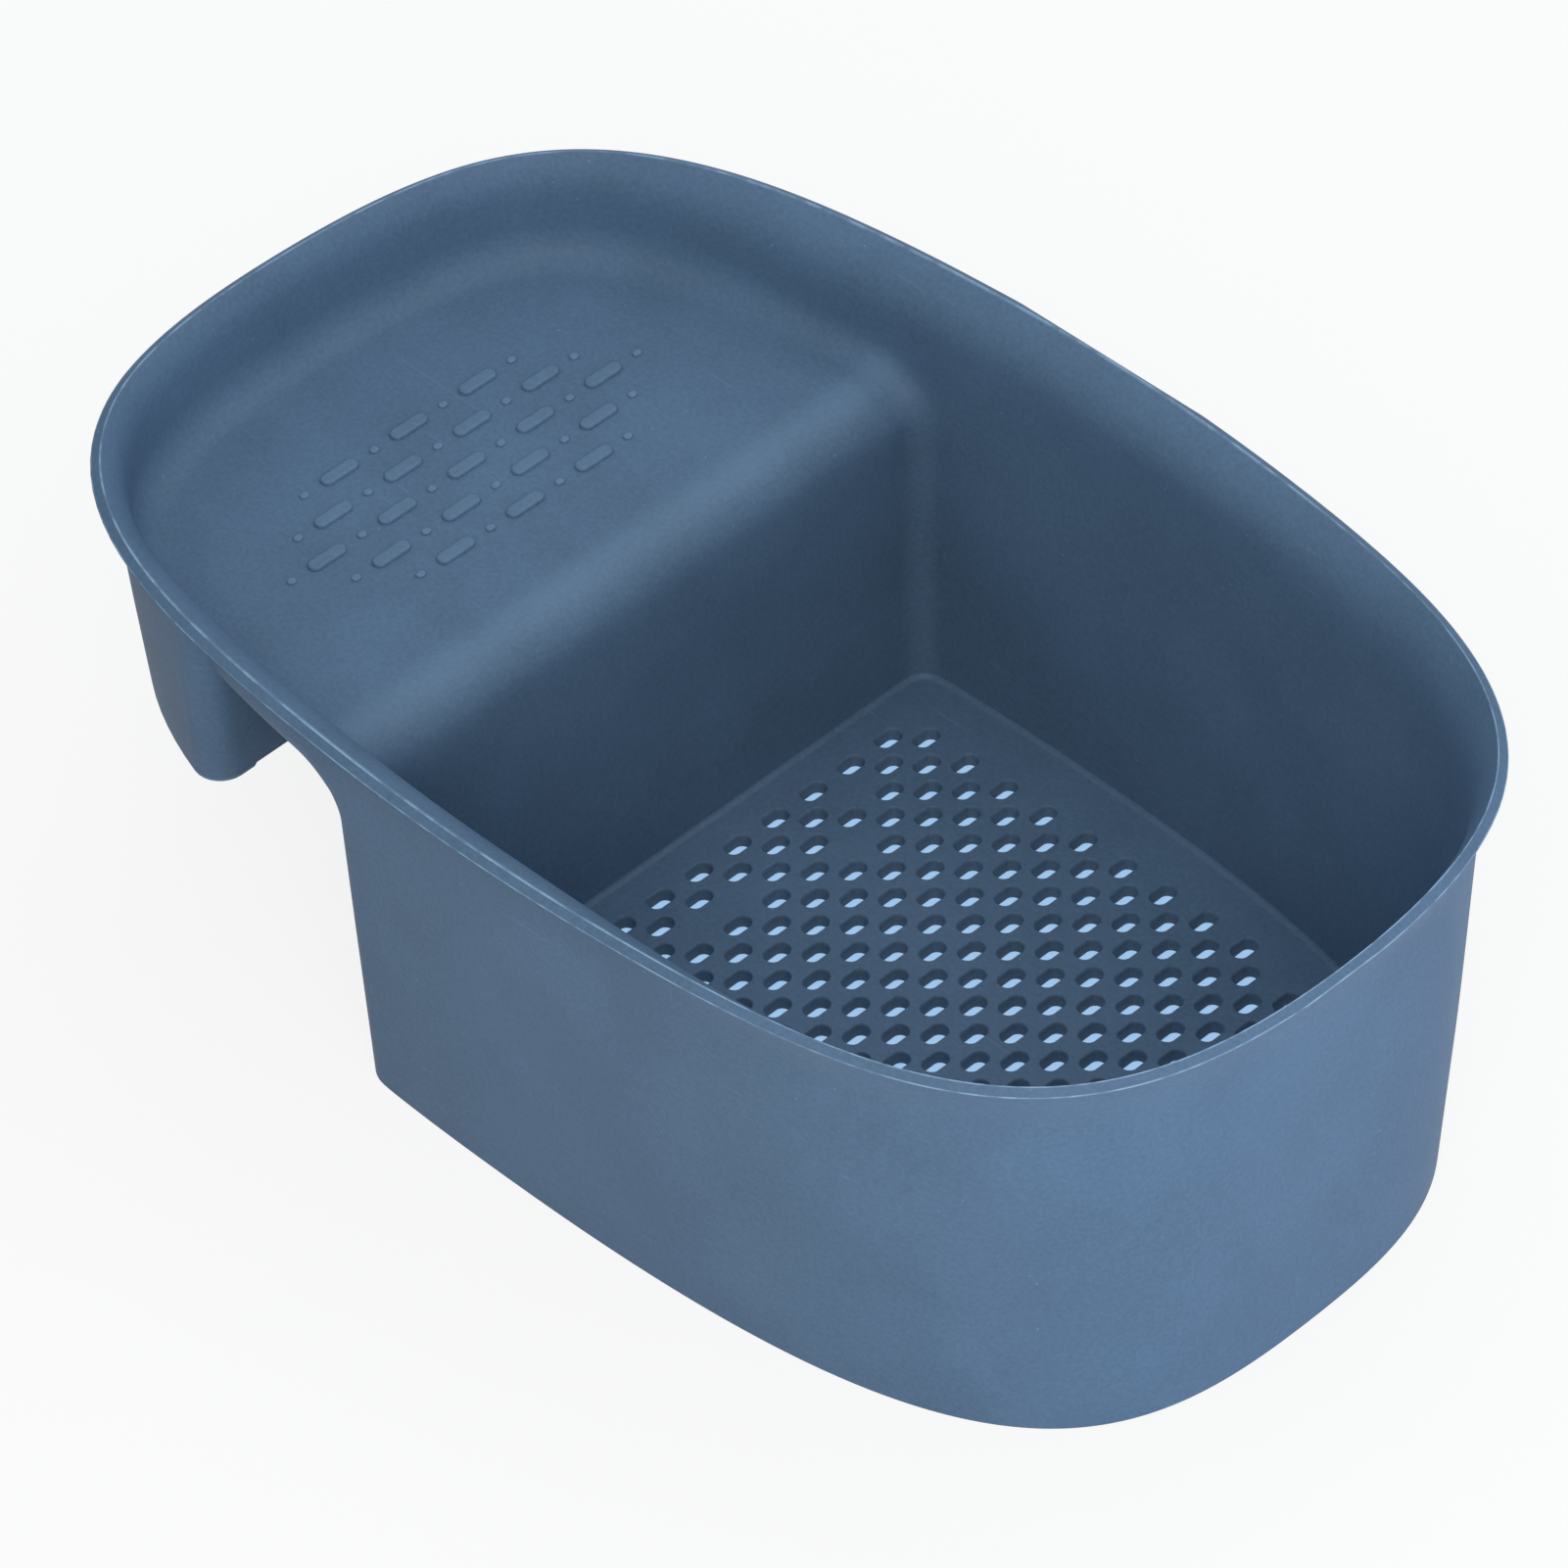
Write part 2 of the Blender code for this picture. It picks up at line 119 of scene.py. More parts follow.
# Waves of the moulding round the rim and round the floor, in millimetres: order, cosine
# and sine. Each set has none at the first of its two heights and is full at the second.
RIM_WAVES = (
    (1, -0.15, -0.1), (2, -0.4, -0.05), (3, 0.35, -0.45), (4, 0.1, 0.1), (5, 0.15, 0.0),
    (6, -0.2, 0.0), (8, 0.4, 0.0),
)
RIM_WAVE_HEIGHTS = (30.0 * MM, 88.0 * MM)
FLOOR_WAVES = (
    (0, -0.05, 0.0), (1, 0.1, 0.0), (2, 0.45, 0.0), (3, 0.5, 0.0), (4, 0.4, 0.0),
    (5, 0.1, 0.0), (6, -0.15, 0.0),
)
FLOOR_WAVE_HEIGHTS = (80.0 * MM, 0.0)
# Towards the middle the waves fade: share of the oval where they end, and how soon.
WAVE_END, WAVE_FADE = 0.5, 0.3

# Below this depth the wall is no longer flared.
FLARE_DEPTH = 13.5 * MM
# Steps across the cut edge of the rim, and how strong its painted highlight line is at each.
EDGE_STEPS = ((0.07, 1.0), (0.13, 0.0), (0.87, 0.0), (0.93, 1.0))

# Rings of a slot's hollow from below the floor up: height, width and length.
SLOT_RINGS = (
    (-1.0, 3.2, 5.4), (1.9, 3.3, 5.5), (2.5, 3.45, 5.6), (2.85, 3.8, 5.8),
    (3.02, 4.3, 6.3), (4.0, 4.4, 6.4),
)
SLOT_CORNERS = 16
# How far the slots stand off their even places, along X and Y.
SLOT_NUDGE = (-0.7 * MM, 0.7 * MM)
# Every other row is shifted this share of the pitch one way, and the rest the other way.
SLOT_SHIFT = 0.25
# Slots that the mould leaves solid: row and place in the row.
SOLID_PLACES = ((1, 3.75), (2, 0.25), (2, -0.75), (3, 2.75))
GRIP_COLUMNS = (3, 4, 5, 4, 3)
# How far a joined piece reaches into its neighbour.
SUNK = 0.6 * MM
PAD_SUNK = 0.2 * MM
PAD_BEVEL, PAD_BEVEL_STEPS = 0.7, 3
GRIP_CORNERS, DOT_CORNERS = 24, 12
DOT_STRETCH = 1.2
# Bends up to these angles are smooth, and sharper ones stay edges.
FLOOR_BEND, SKIRT_BEND, PAD_BEND = math.radians(40.0), math.radians(35.0), math.radians(35.0)
# How far the floor's fillet laps the wall, and how high the floor's underside lies.
FILLET_LAP = 0.06 * MM
FLOOR_LIFT = 0.15 * MM
FILLET_POINTS = 6

# Rows of the leg's skirt: the softened lower edge as height above the foot and depth
# into the wall, the heights of the straight part, and the flare under the rim.
LEG_FOOT_EDGE = ((0.0, 0.5), (0.15, 0.15), (0.5, 0.0))
LEG_ROWS = (52.0, 60.0, 68.0, 76.0, 84.0)
LEG_FLARE_TOP = (93.2, 0.13)
LEG_FLARE_ROWS = 7
LEG_CORNER_POINTS = 9
LEG_ROUND_POINTS = 30
# The step in the flat wall's lower edge: its place from the corner and its ramp.
LEG_STEP_PLACE = 9.4 * MM
LEG_STEP_RAMP = 0.7 * MM
LEG_STEP_REACH = 0.1 * MM
LEG_STEP_HEIGHT = 1.0 * MM
# The shell's core is drawn up from its rim, which is found this far below the top.
CORE_RIM = 0.6 * MM
CORE_RISE = 20.0 * MM

# Painted highlights. The crest of the front roll gets its painted highlight over a width along X
# and along Z.
CREST_BACK = 0.6 * MM
CREST_WIDTH = 6.0 * MM
CREST_HEIGHT = 70.5 * MM
CREST_DEPTH = 8.0 * MM
CREST_HIGHLIGHT, FOOT_HIGHLIGHT, GRIP_HIGHLIGHT, DOT_HIGHLIGHT = 0.13, 0.4, 0.1, 0.2
FOOT_HIGHLIGHT_WIDTH = 1.3 * MM
SPECULAR = 0.25

# The photographed view, fitted to the rim, the floor and the shelf.
CAMERA_LENS = 202.374
CAMERA_AZIMUTH = 46.8052
CAMERA_ELEVATION = 43.4730
CAMERA_ROLL = 2.2594
CAMERA_DISTANCE = 1.57154
CAMERA_TARGET = (7.8722, -10.4758, 60.0)

# The studio's floor, which looks brighter than its light makes it, with a painted pale blue
# reflection of the plastic
# in an oval under the basket: axis, middle and half size. Beyond an X the painted reflection
# stops and it is white all over.
FLOOR_SIZE, FLOOR_DROP = 6.0, -0.0002
FLOOR_COLOUR = (0.9, 0.9, 0.9, 1.0)
FLOOR_GLOW = 0.85
BOUNCE_TINT_OVAL = (("X", 20.0 * MM, 100.0 * MM), ("Y", 0.0, 68.0 * MM))
BOUNCE_TINT_POWER = 3.0
BOUNCE_TINT_END = -36.0 * MM
BOUNCE_TINT_RAMP = ((0.97, (0.36, 0.60, 0.92, 1.0)), (1.0, (1.0, 1.0, 1.0, 1.0)))
# A dark card that keeps light off the leg: place, turn in degrees, size and colour.
CARD_PLACE = (-0.20, -0.17, 0.075)
CARD_TURN = (0.0, 90.0, 47.0)
CARD_SIZE = (0.17, 0.24, 1.0)
CARD_COLOUR = (0.02, 0.02, 0.02, 1.0)
WORLD_COLOUR = (0.9, 1.0, 1.08, 1.0)
WORLD_STRENGTH = 0.59
# Lamps: place, size, power and colour. The first only lights glossy reflections.
SHEEN = "sheen_lamp"
LAMPS = (
    (SHEEN, (0.4, 0.6, 1.0), 0.4, 3.0, (1.0, 1.0, 1.0)),
    ("side_lamp", (0.7, -0.08, 0.12), 0.2, 0.85, (0.78, 1.0, 1.25)),
    ("front_lamp", (0.75, -0.7, 1.0), 0.7, 6.1, (1.17, 1.0, 0.8)),
    ("top_lamp", (-0.2, 0.5, 1.2), 0.7, 1.95, (1.0, 1.0, 1.0)),
)
LAMP_TARGET = (0.0, 0.0, 0.05)


# ---------------------------------------------------------------- sizes and colours

def length(name, default, description):
    return bpy.props.FloatProperty(
        name=name, default=default * MM, description=description,
        unit="LENGTH", subtype="DISTANCE", precision=4,
    )


def angle(name, default, description):
    return bpy.props.FloatProperty(
        name=name, default=math.radians(default), description=description,
        unit="ROTATION", subtype="ANGLE",
    )


class BasketSizes(bpy.types.PropertyGroup):
    rim_length: length("Rim length", 272.0, "Length of the rim's oval")
    rim_width: length("Rim width", 169.0, "Width of the rim's oval")
    rim_squareness: bpy.props.FloatProperty(
        name="Rim squareness", default=3.0, min=2.0,
        description="Power of the rim's oval; 2 is an ellipse",
    )
    top: length("Top", BOX_HIGH.z / MM, "Height of the rim's inner edge")
    wall: length("Wall", 2.1, "Thickness of the plastic")
    edge_width: length("Edge width", 1.8, "How far the rim's outer edge stands out")
    edge_drop: length("Edge drop", 1.1, "How far the outer edge lies below the inner one")
    saddle_flare: length("Saddle flare", 8.1, "How far the wall flares out at the saddle")
    saddle_tilt: angle("Saddle tilt", 75.0, "Tilt of the rim beside the sink divider")
    saddle_draft: angle("Saddle draft", 1.9, "Draft of the wall beside the sink divider")
    end_flare: length("End flare", 4.9, "How far the wall flares out at the basket's end")
    end_tilt: angle("End tilt", 33.0, "Tilt of the rim at the basket's end")
    end_draft: angle("End draft", 4.3, "Draft of the wall at the basket's end")
    shelf_flare: length("Shelf flare", 3.6, "How far the wall flares out at the shelf's end")
    shelf_tilt: angle("Shelf tilt", 50.0, "Tilt of the rim at the shelf's end")
    shelf_draft: angle("Shelf draft", 3.0, "Draft of the wall at the shelf's end")
    shelf_height: length("Shelf height", 72.5, "Height of the shelf's surface")
    dish_fillet: length("Dish fillet", 7.0, "Radius between the shelf and its wall")
    corner_fillet: length("Corner fillet", 5.0, "Radius of the basket's upright inner corners")
    roll_radius: length("Roll radius", 9.0, "Radius of the shelf's rounded front edge")
    divider_x: length("Divider place", -39.3, "X of the divider wall's inner face at the floor")
    divider_draft: angle("Divider draft", 1.0, "Draft of the divider wall")
    floor_thickness: length("Floor thickness", 3.0, "Thickness of the drain floor")
    floor_fillet: length("Floor fillet", 1.3, "Radius between the drain floor and the walls")
    slot_pitch_x: length("Slot pitch along", 10.25, "Distance between every other row of slots")
    slot_pitch_y: length("Slot pitch across", 10.0, "Distance between the slots of a row")
    slot_first_x: length("First slot row", -30.0, "X of the row next to the divider wall")
    slot_margin: length("Slot margin", 25.3, "Least distance from a slot's middle to the rim")
    grip_middle_x: length("Grips' middle", -84.9, "X of the middle column of grips")
    grip_pitch_x: length("Grip pitch along", 7.8, "Distance between the columns of grips")
    grip_pitch_y: length("Grip pitch across", 17.4, "Distance between a column's grips")
    grip_length: length("Grip length", 8.7, "Length of a raised grip")
    grip_width: length("Grip width", 3.0, "Width of a raised grip")
    grip_height: length("Grip height", 0.8, "Height of a raised grip")
    dot_width: length("Dot width", 1.7, "Width of a dot between the grips")
    dot_height: length("Dot height", 0.5, "Height of a dot between the grips")
    leg_bottom: length("Leg's foot", 44.6, "Height of the leg's lower edge")
    leg_front: length("Leg's front", -75.0, "X of the leg's flat wall, under the shelf")
    leg_front_draft: angle("Leg's front draft", 4.0, "Draft of the leg's flat wall")
    leg_inset: length("Leg's inset", 4.8, "How far the outer wall lies inside the rim")
    leg_draft: angle("Leg's draft", 3.0, "Draft of the leg's outer wall")
    leg_corner: length("Leg's corner", 5.5, "Radius of the leg's upright corners")
    leg_step: length("Leg's step", 0.6, "Rise of the middle of the flat wall's lower edge")


class BasketLook(bpy.types.PropertyGroup):
    plastic: bpy.props.FloatVectorProperty(
        name="Plastic", size=4, default=(0.088, 0.158, 0.262, 1.0), min=0.0, max=1.0,
        subtype="COLOR", description="Colour of the plastic",
    )
    # Pale plastic serves the real specks and scuffs, and the painted highlights along edges and
    # tops.
    pale: bpy.props.FloatVectorProperty(
        name="Pale plastic", size=4, default=(0.27, 0.43, 0.62, 1.0), min=0.0, max=1.0,
        subtype="COLOR", description="Colour of rubbed edges and specks",
    )
    roughness: bpy.props.FloatProperty(
        name="Roughness", default=0.6, min=0.0, max=1.0, subtype="FACTOR",
        description="How matt the plastic is",
    )


# ---------------------------------------------------------------- the rim's oval

def smooth_step(value):
    t = np.clip(value, 0.0, 1.0)
    return t * t * (3.0 - 2.0 * t)


def blend(first, second, share):
    return first + (second - first) * share


def uneven(sizes, points):
    """The points with the slight waviness of the moulding."""
    half_x, half_y = sizes.rim_length / 2, sizes.rim_width / 2
    power = sizes.rim_squareness
    u, v = points[:, 0] / half_x, points[:, 1] / half_y
    turn = np.arctan2(v, u)
    push = np.zeros(len(points))
    for waves, (none, full) in (
        (RIM_WAVES, RIM_WAVE_HEIGHTS), (FLOOR_WAVES, FLOOR_WAVE_HEIGHTS),
    ):
        share = smooth_step((points[:, 2] - none) / (full - none))
        for order, cosine, sine in waves:
            push += share * (cosine * np.cos(order * turn) + sine * np.sin(order * turn)) * MM
    reach = (np.abs(u) ** power + np.abs(v) ** power) ** (1.0 / power)
    push *= smooth_step((reach - WAVE_END) / WAVE_FADE)
    slope_x = np.sign(u) * np.abs(u) ** (power - 1) / half_x
    slope_y = np.sign(v) * np.abs(v) ** (power - 1) / half_y
    size = np.maximum(np.hypot(slope_x, slope_y), 1e-9)
    moved = points.copy()
    moved[:, 0] = np.clip(moved[:, 0] + slope_x / size * push, BOX_LOW.x, BOX_HIGH.x)
    moved[:, 1] = np.clip(moved[:, 1] + slope_y / size * push, BOX_LOW.y, BOX_HIGH.y)
    return moved


class Oval:
    """The rim's outer outline, for the half with positive Y."""

    def __init__(self, sizes):
        self.angle = np.linspace(0.0, math.pi, OVAL_POINTS)
        c, s = np.cos(self.angle), np.sin(self.angle)
        power = sizes.rim_squareness
        grow = (np.abs(c) ** power + np.abs(s) ** power) ** (-1.0 / power)
        u, v = c * grow, s * grow
        half_x, half_y = sizes.rim_length / 2, sizes.rim_width / 2
        slope_x = np.sign(u) * np.abs(u) ** (power - 1) / half_x
        slope_y = np.abs(v) ** (power - 1) / half_y
        norm = np.hypot(slope_x, slope_y)
        self.x, self.y = u * half_x, v * half_y
        self.nx, self.ny = slope_x / norm, slope_y / norm

    def normal(self, at):
        nx = np.interp(at, self.angle, self.nx)
        ny = np.interp(at, self.angle, self.ny)
        size = np.hypot(nx, ny)
        return nx / size, ny / size

    def point(self, at, inset):
        nx, ny = self.normal(at)
        x = np.interp(at, self.angle, self.x)
        y = np.interp(at, self.angle, self.y)
        return x - nx * inset, y - ny * inset

    def angle_at(self, x, inset):
        """Angle where the oval, moved in by inset, has the given x."""
        found = np.interp(-x, -self.x, self.angle)
        for _ in range(6):
            nx, _ = self.normal(found)
            found = np.interp(-(x + nx * inset), -self.x, self.angle)
        return found


def flare_at(sizes, x):
    """Flare, tilt at the rim and draft of the side wall at a place along X."""
    to_shelf = smooth_step((x - TO_SHELF[0]) / TO_SHELF[1])
    to_end = smooth_step((x - TO_END[0]) / TO_END[1])
    values = []
    for saddle, shelf, end in (
        (sizes.saddle_flare, sizes.shelf_flare, sizes.end_flare),
        (sizes.saddle_tilt, sizes.shelf_tilt, sizes.end_tilt),
        (sizes.saddle_draft, sizes.shelf_draft, sizes.end_draft),
    ):
        values.append(blend(blend(saddle, shelf, to_shelf), end, to_end))
    return values


def wall_at(sizes, depth, x):
    """Inset and slope of the inner wall at a depth below the top."""
    flare, tilt, draft = flare_at(sizes, x)
    radius = flare / (np.cos(draft) - np.cos(tilt))
    sine = np.maximum(np.sin(tilt) - depth / radius, np.sin(draft))
    bend = radius * (np.sin(tilt) - np.sin(draft))
    slope = np.arcsin(sine)
    inset = radius * (np.cos(slope) - np.cos(tilt))
    inset = inset + np.maximum(depth - bend, 0.0) * np.tan(draft)
    return inset + sizes.edge_width, slope


# ---------------------------------------------------------------- the cage of the shell

class Junction:
    """Fillet between the side wall and the shelf, its front roll and the divider wall.

    Its stations are counted as a run along it, zero half-way round the front roll,
    falling towards the shelf's end and rising down the divider wall.
    """

    def __init__(self, sizes, oval):
        self.sizes = sizes
        self.oval = oval
        self.radius = sizes.roll_radius
        self.half = self.radius * math.pi / 4
        self.end = self.radius * (math.pi / 4 - sizes.divider_draft)
        self.centre_z = sizes.shelf_height - self.radius
        self.end_z = self.centre_z + self.radius * math.sin(sizes.divider_draft)
        drop = (self.end_z - sizes.floor_thickness) * math.tan(sizes.divider_draft)
        self.centre_x = sizes.divider_x - drop - self.radius * math.cos(sizes.divider_draft)
        self.start = float(oval.angle_at(np.array(self.centre_x), TRACK_INSET))
        self.angles = np.linspace(self.start, math.pi, TRACK_POINTS)
        x, y = oval.point(self.angles, TRACK_INSET)
        self.lengths = lengths_along(x, y)
        self.total = self.lengths[-1] + self.half

    def profile(self, run):
        """Point and normal, in X and Z, of the shelf, roll or divider wall."""
        draft = self.sizes.divider_draft
        turn = math.pi / 4 - np.clip(run, -self.half, self.end) / self.radius
        x = self.centre_x + self.radius * np.cos(turn) + np.minimum(run + self.half, 0.0)
        z = self.centre_z + self.radius * np.sin(turn)
        below = np.maximum(run - self.end, 0.0)
        x = x + below * math.sin(draft)
        z = z - below * math.cos(draft)
        return x, z, np.cos(turn), np.sin(turn)

    def fillet_point(self, run, share):
        """Point of the fillet, with share 0 on the side wall and 1 on the other surface."""
        sizes = self.sizes
        run = np.asarray(run, float)
        x, z, normal_x, normal_z = self.profile(run)
        to_dish = smooth_step((-run - self.half) / FILLET_CHANGE)
        radius = blend(sizes.corner_fillet, sizes.dish_fillet, to_dish)
        centre_x = x + radius * normal_x
        centre_z = z + radius * normal_z
        back = np.maximum(-run - self.half, 0.0)
        at = np.interp(back, self.lengths, self.angles)
        for _ in range(3):
            rim_x = np.interp(at, self.oval.angle, self.oval.x)
            inset, slope = wall_at(sizes, sizes.top - centre_z, rim_x)
            inset = inset + radius / np.cos(slope)
            on_roll = self.oval.angle_at(centre_x, inset)
            at = np.where(run > -self.half, on_roll, np.interp(back, self.lengths, self.angles))
        nx, ny = self.oval.normal(at)
        px, py = self.oval.point(at, inset)
        centre = np.stack([px, py, centre_z], axis=-1)
        out = np.stack([nx * np.cos(slope), ny * np.cos(slope), -np.sin(slope)], axis=-1)
        down = np.stack([-normal_x, np.zeros_like(run), -normal_z], axis=-1)
        spread = np.arccos(np.clip((out * down).sum(-1), -1.0, 1.0))[..., None]
        turned = np.sin((1 - share) * spread) * out + np.sin(share * spread) * down
        turned = turned / np.sin(spread)
        return centre + radius[..., None] * turned, at


def lengths_along(x, y):
    """Lengths along a line of points, from its start to each of them."""
    return np.concatenate(([0.0], np.cumsum(np.hypot(np.diff(x), np.diff(y)))))


def run_along_dish(junction, column):
    """Run of the junction at a column, with steps that grow towards the shelf's end."""
    reach = np.concatenate(([0.0], np.cumsum(DISH_STEPS)))
    reach = reach * (junction.total / reach[-1])
    return -np.interp(CORNER_COLUMN - column, np.arange(len(reach)), reach)


def leaning(columns, lines):
    """Columns moved by some of the fillet's lines, but not near the shelf's end."""
    return columns + lines * np.clip((columns - LEAN_START) / LEAN_LENGTH, 0.0, 1.0)


def lay_fillet(cage, junction, divider_runs):
    """Fill in the fillet's lines, and give the rim's angles over the first of them."""
    angles = None
    for line in range(FILLET_LINES):
        row = FIRST_FILLET_ROW + line
        share = line / (FILLET_LINES - 1)
        turn_column = WALL_COLUMN - line
        columns = leaning(np.arange(turn_column + 1), line - HALF_FILLET)
        points, at = junction.fillet_point(run_along_dish(junction, columns), share)
        cage[row, :turn_column + 1] = points
        if line == 0:
            angles = at
        rows = np.arange(row, ROLL_END_ROW + 1)
        runs = junction.end * (rows - row) / (ROLL_END_ROW - row)
        cage[row:ROLL_END_ROW + 1, turn_column] = junction.fillet_point(runs, share)[0]
        cage[ROLL_END_ROW + 1:, turn_column] = junction.fillet_point(divider_runs, share)[0]
    return angles


def basket_angles(oval):
    """The rim's angles over the columns of the basket's own wall, evenly spread."""
    start = float(oval.angle_at(np.array(BASKET_START), 0.0))
    fine = np.linspace(start, 0.0, TRACK_POINTS)
    reach = lengths_along(*oval.point(fine, 0.0))
    even = np.linspace(0.0, reach[-1], LAST_COLUMN - WALL_COLUMN)
    angles = np.interp(even, reach, fine)
    angles[-1] = 0.0
    return angles


def lay_walls(cage, sizes, oval, angles):
    """Fill in the side wall above the fillet, and the basket's wall down to the floor."""
    rim_x = np.interp(angles, oval.angle, oval.x)

    def wall(first, depth, height):
        inset, _ = wall_at(sizes, depth, rim_x[first:])
        x, y = oval.point(angles[first:], inset)
        return np.stack([x, y, height + np.zeros_like(x)], axis=-1)

    for row, depth in enumerate(DEPTH_ROWS):
        cage[row] = wall(0, depth * MM, sizes.top - depth * MM)
    lower = cage[FIRST_FILLET_ROW, :, 2].copy()
    lower[WALL_COLUMN:] = lower[WALL_COLUMN]
    depth = (DEPTH_ROWS[-1] * MM + sizes.top - lower) / 2
    cage[FIRST_FILLET_ROW - 1] = wall(0, depth, sizes.top - depth)
    beyond = WALL_COLUMN + 1
    for row in range(FIRST_FILLET_ROW, LAST_ROW + 1):
        height = cage[row, WALL_COLUMN, 2]
        cage[row, beyond:] = wall(beyond, sizes.top - height, height)


def lay_dish(cage, junction, divider_runs):
    """Fill in the shelf's dish, its front roll and the divider wall, within the fillet."""
    first = cage[LAST_FILLET_ROW, :EDGE_COLUMN + 1].copy()
    steps = np.hypot(np.diff(first[:, 0]), np.diff(first[:, 1]))
    share = np.concatenate(([0.0], np.cumsum(steps))) / steps.sum()
    edge = cage[:, EDGE_COLUMN]
    runs = run_along_dish(junction, leaning(np.arange(EDGE_COLUMN), HALF_FILLET))
    for column, run in enumerate(runs):
        begin = first[column]
        behind = -junction.half + min(0.0, begin[0] - junction.centre_x)
        start = run if run > -junction.half else behind
        near = smooth_step((start + ROLL_EASE) / ROLL_EASE)
        middle = blend(-junction.half, junction.half / 2, near)
        end_y = share[column] * edge[ROLL_END_ROW, 1]
        for row in range(LAST_FILLET_ROW + 1, LAST_ROW + 1):
            if row <= ROLL_START_ROW:
                part = (row - LAST_FILLET_ROW) / (ROLL_START_ROW - LAST_FILLET_ROW)
                place = blend(start, middle, part)
            elif row <= ROLL_END_ROW:
                part = (row - ROLL_START_ROW) / (ROLL_END_ROW - ROLL_START_ROW)
                place = blend(middle, junction.end, part)
            else:
                place = divider_runs[row - ROLL_END_ROW - 1]
            x, z, _, _ = junction.profile(np.array(place))
            if row <= ROLL_END_ROW:
                y = blend(begin[1], end_y, (place - start) / (junction.end - start))
            else:
                y = end_y * edge[row, 1] / edge[ROLL_END_ROW, 1]
            cage[row, column] = (x, y, z)


def half_cage(sizes):
    """Points of the cage's half with positive Y, as rows by columns."""
    oval = Oval(sizes)
    junction = Junction(sizes, oval)
    cage = np.zeros((LAST_ROW + 1, LAST_COLUMN + 1, 3))
    drops = junction.end_z - np.array(DIVIDER_HEIGHTS) * MM
    divider_runs = junction.end + drops / math.cos(sizes.divider_draft)
    angles = lay_fillet(cage, junction, divider_runs)
    lay_walls(cage, sizes, oval, np.concatenate((angles, basket_angles(oval))))
    lay_dish(cage, junction, divider_runs)
    cage[LAST_ROW, :, 2] = DIVIDER_HEIGHTS[-1] * MM
    cage[:, 0, 1] = 0.0
    cage[:, -1, 1] = 0.0
    return cage


def piece_of_cell(row, column):
    """Name of the piece that a face of the cage belongs to."""
    if row < EDGE_ROWS:
        return "rim_edge"
    if column >= WALL_COLUMN:
        return "tub_wall"
    if row >= ROLL_END_ROW:
        return "saddle_wall"
    if row < LAST_FILLET_ROW or column >= EDGE_COLUMN:
        return "dish_wall"
    if row < ROLL_START_ROW:
        return "dish_floor"
    return "front_roll"


# ---------------------------------------------------------------- work on meshes

def deselect():
    bpy.ops.object.select_all(action="DESELECT")


def choose_all():
    """In edit mode, select the whole mesh."""
    bpy.ops.mesh.select_all(action="SELECT")


def choose(thing, test):
    """In edit mode, select only the corners whose place passes the test."""
    bpy.ops.mesh.select_all(action="DESELECT")
    work = bmesh.from_edit_mesh(thing.data)
    for vert in work.verts:
        vert.select_set(bool(test(vert.co)))
    work.select_flush(True)
    bmesh.update_edit_mesh(thing.data)


def put(name, data):
    """New object with its data, put in the scene."""
    thing = bpy.data.objects.new(name, data)
    bpy.context.scene.collection.objects.link(thing)
    return thing


def woven(name, rows):
    """Mesh through rows of points, left in edit mode, with points that meet merged."""
    deselect()
    count, width = rows.shape[:2]
    bpy.ops.mesh.primitive_grid_add(
        x_subdivisions=width - 1, y_subdivisions=count - 1, size=GUIDE,
        location=(0.0, 0.0, 0.0),
    )
    thing = bpy.context.object
    thing.name = name
    thing.data.vertices.foreach_set("co", rows.reshape(-1))
    thing.data.update()
    bpy.ops.object.mode_set(mode="EDIT")
    choose_all()
    bpy.ops.mesh.remove_doubles(threshold=TOLERANCE)
    return thing


def close_up():
    """Fill the open ends of the mesh in edit mode, turn its faces out and leave edit mode."""
    choose_all()
    bpy.ops.mesh.fill_holes(sides=0)
    choose_all()
    bpy.ops.mesh.normals_make_consistent(inside=False)
    bpy.ops.object.mode_set(mode="OBJECT")


def make_active(thing):
    deselect()
    thing.select_set(True)
    bpy.context.view_layer.objects.active = thing


def cut_away(thing, tool):
    """Take the tool's shape out of a piece and drop the tool."""
    make_active(thing)
    step = thing.modifiers.new("Cut", "BOOLEAN")
    step.operation = "DIFFERENCE"
    step.object = tool
    bpy.ops.object.modifier_apply(modifier=step.name)
    bpy.data.objects.remove(tool, do_unlink=True)


def smooth_round(thing, turn):
    """Smooth the round faces of a piece and keep its flat ones flat."""
    make_active(thing)
    bpy.ops.object.shade_smooth_by_angle(angle=turn)
    step = thing.modifiers.new("Flats", "WEIGHTED_NORMAL")
    step.keep_sharp = True
    bpy.ops.object.modifier_apply(modifier=step.name)


def repeat(thing, places):
    """Copies of a piece at each place in X and Y, joined into one object at the origin."""
    copies = []
    for x, y in places:
        copy = thing.copy()
        copy.data = thing.data.copy()
        copy.location = (x, y, thing.location.z)
        bpy.context.scene.collection.objects.link(copy)
        copies.append(copy)
    name = thing.name
    bpy.data.objects.remove(thing, do_unlink=True)
    deselect()
    for copy in copies:
        copy.select_set(True)
    joined = copies[0]
    bpy.context.view_layer.objects.active = joined
    bpy.ops.object.join()
    bpy.ops.object.transform_apply(location=True, rotation=True, scale=True)
    joined.name = name
    return joined


# ---------------------------------------------------------------- the shell

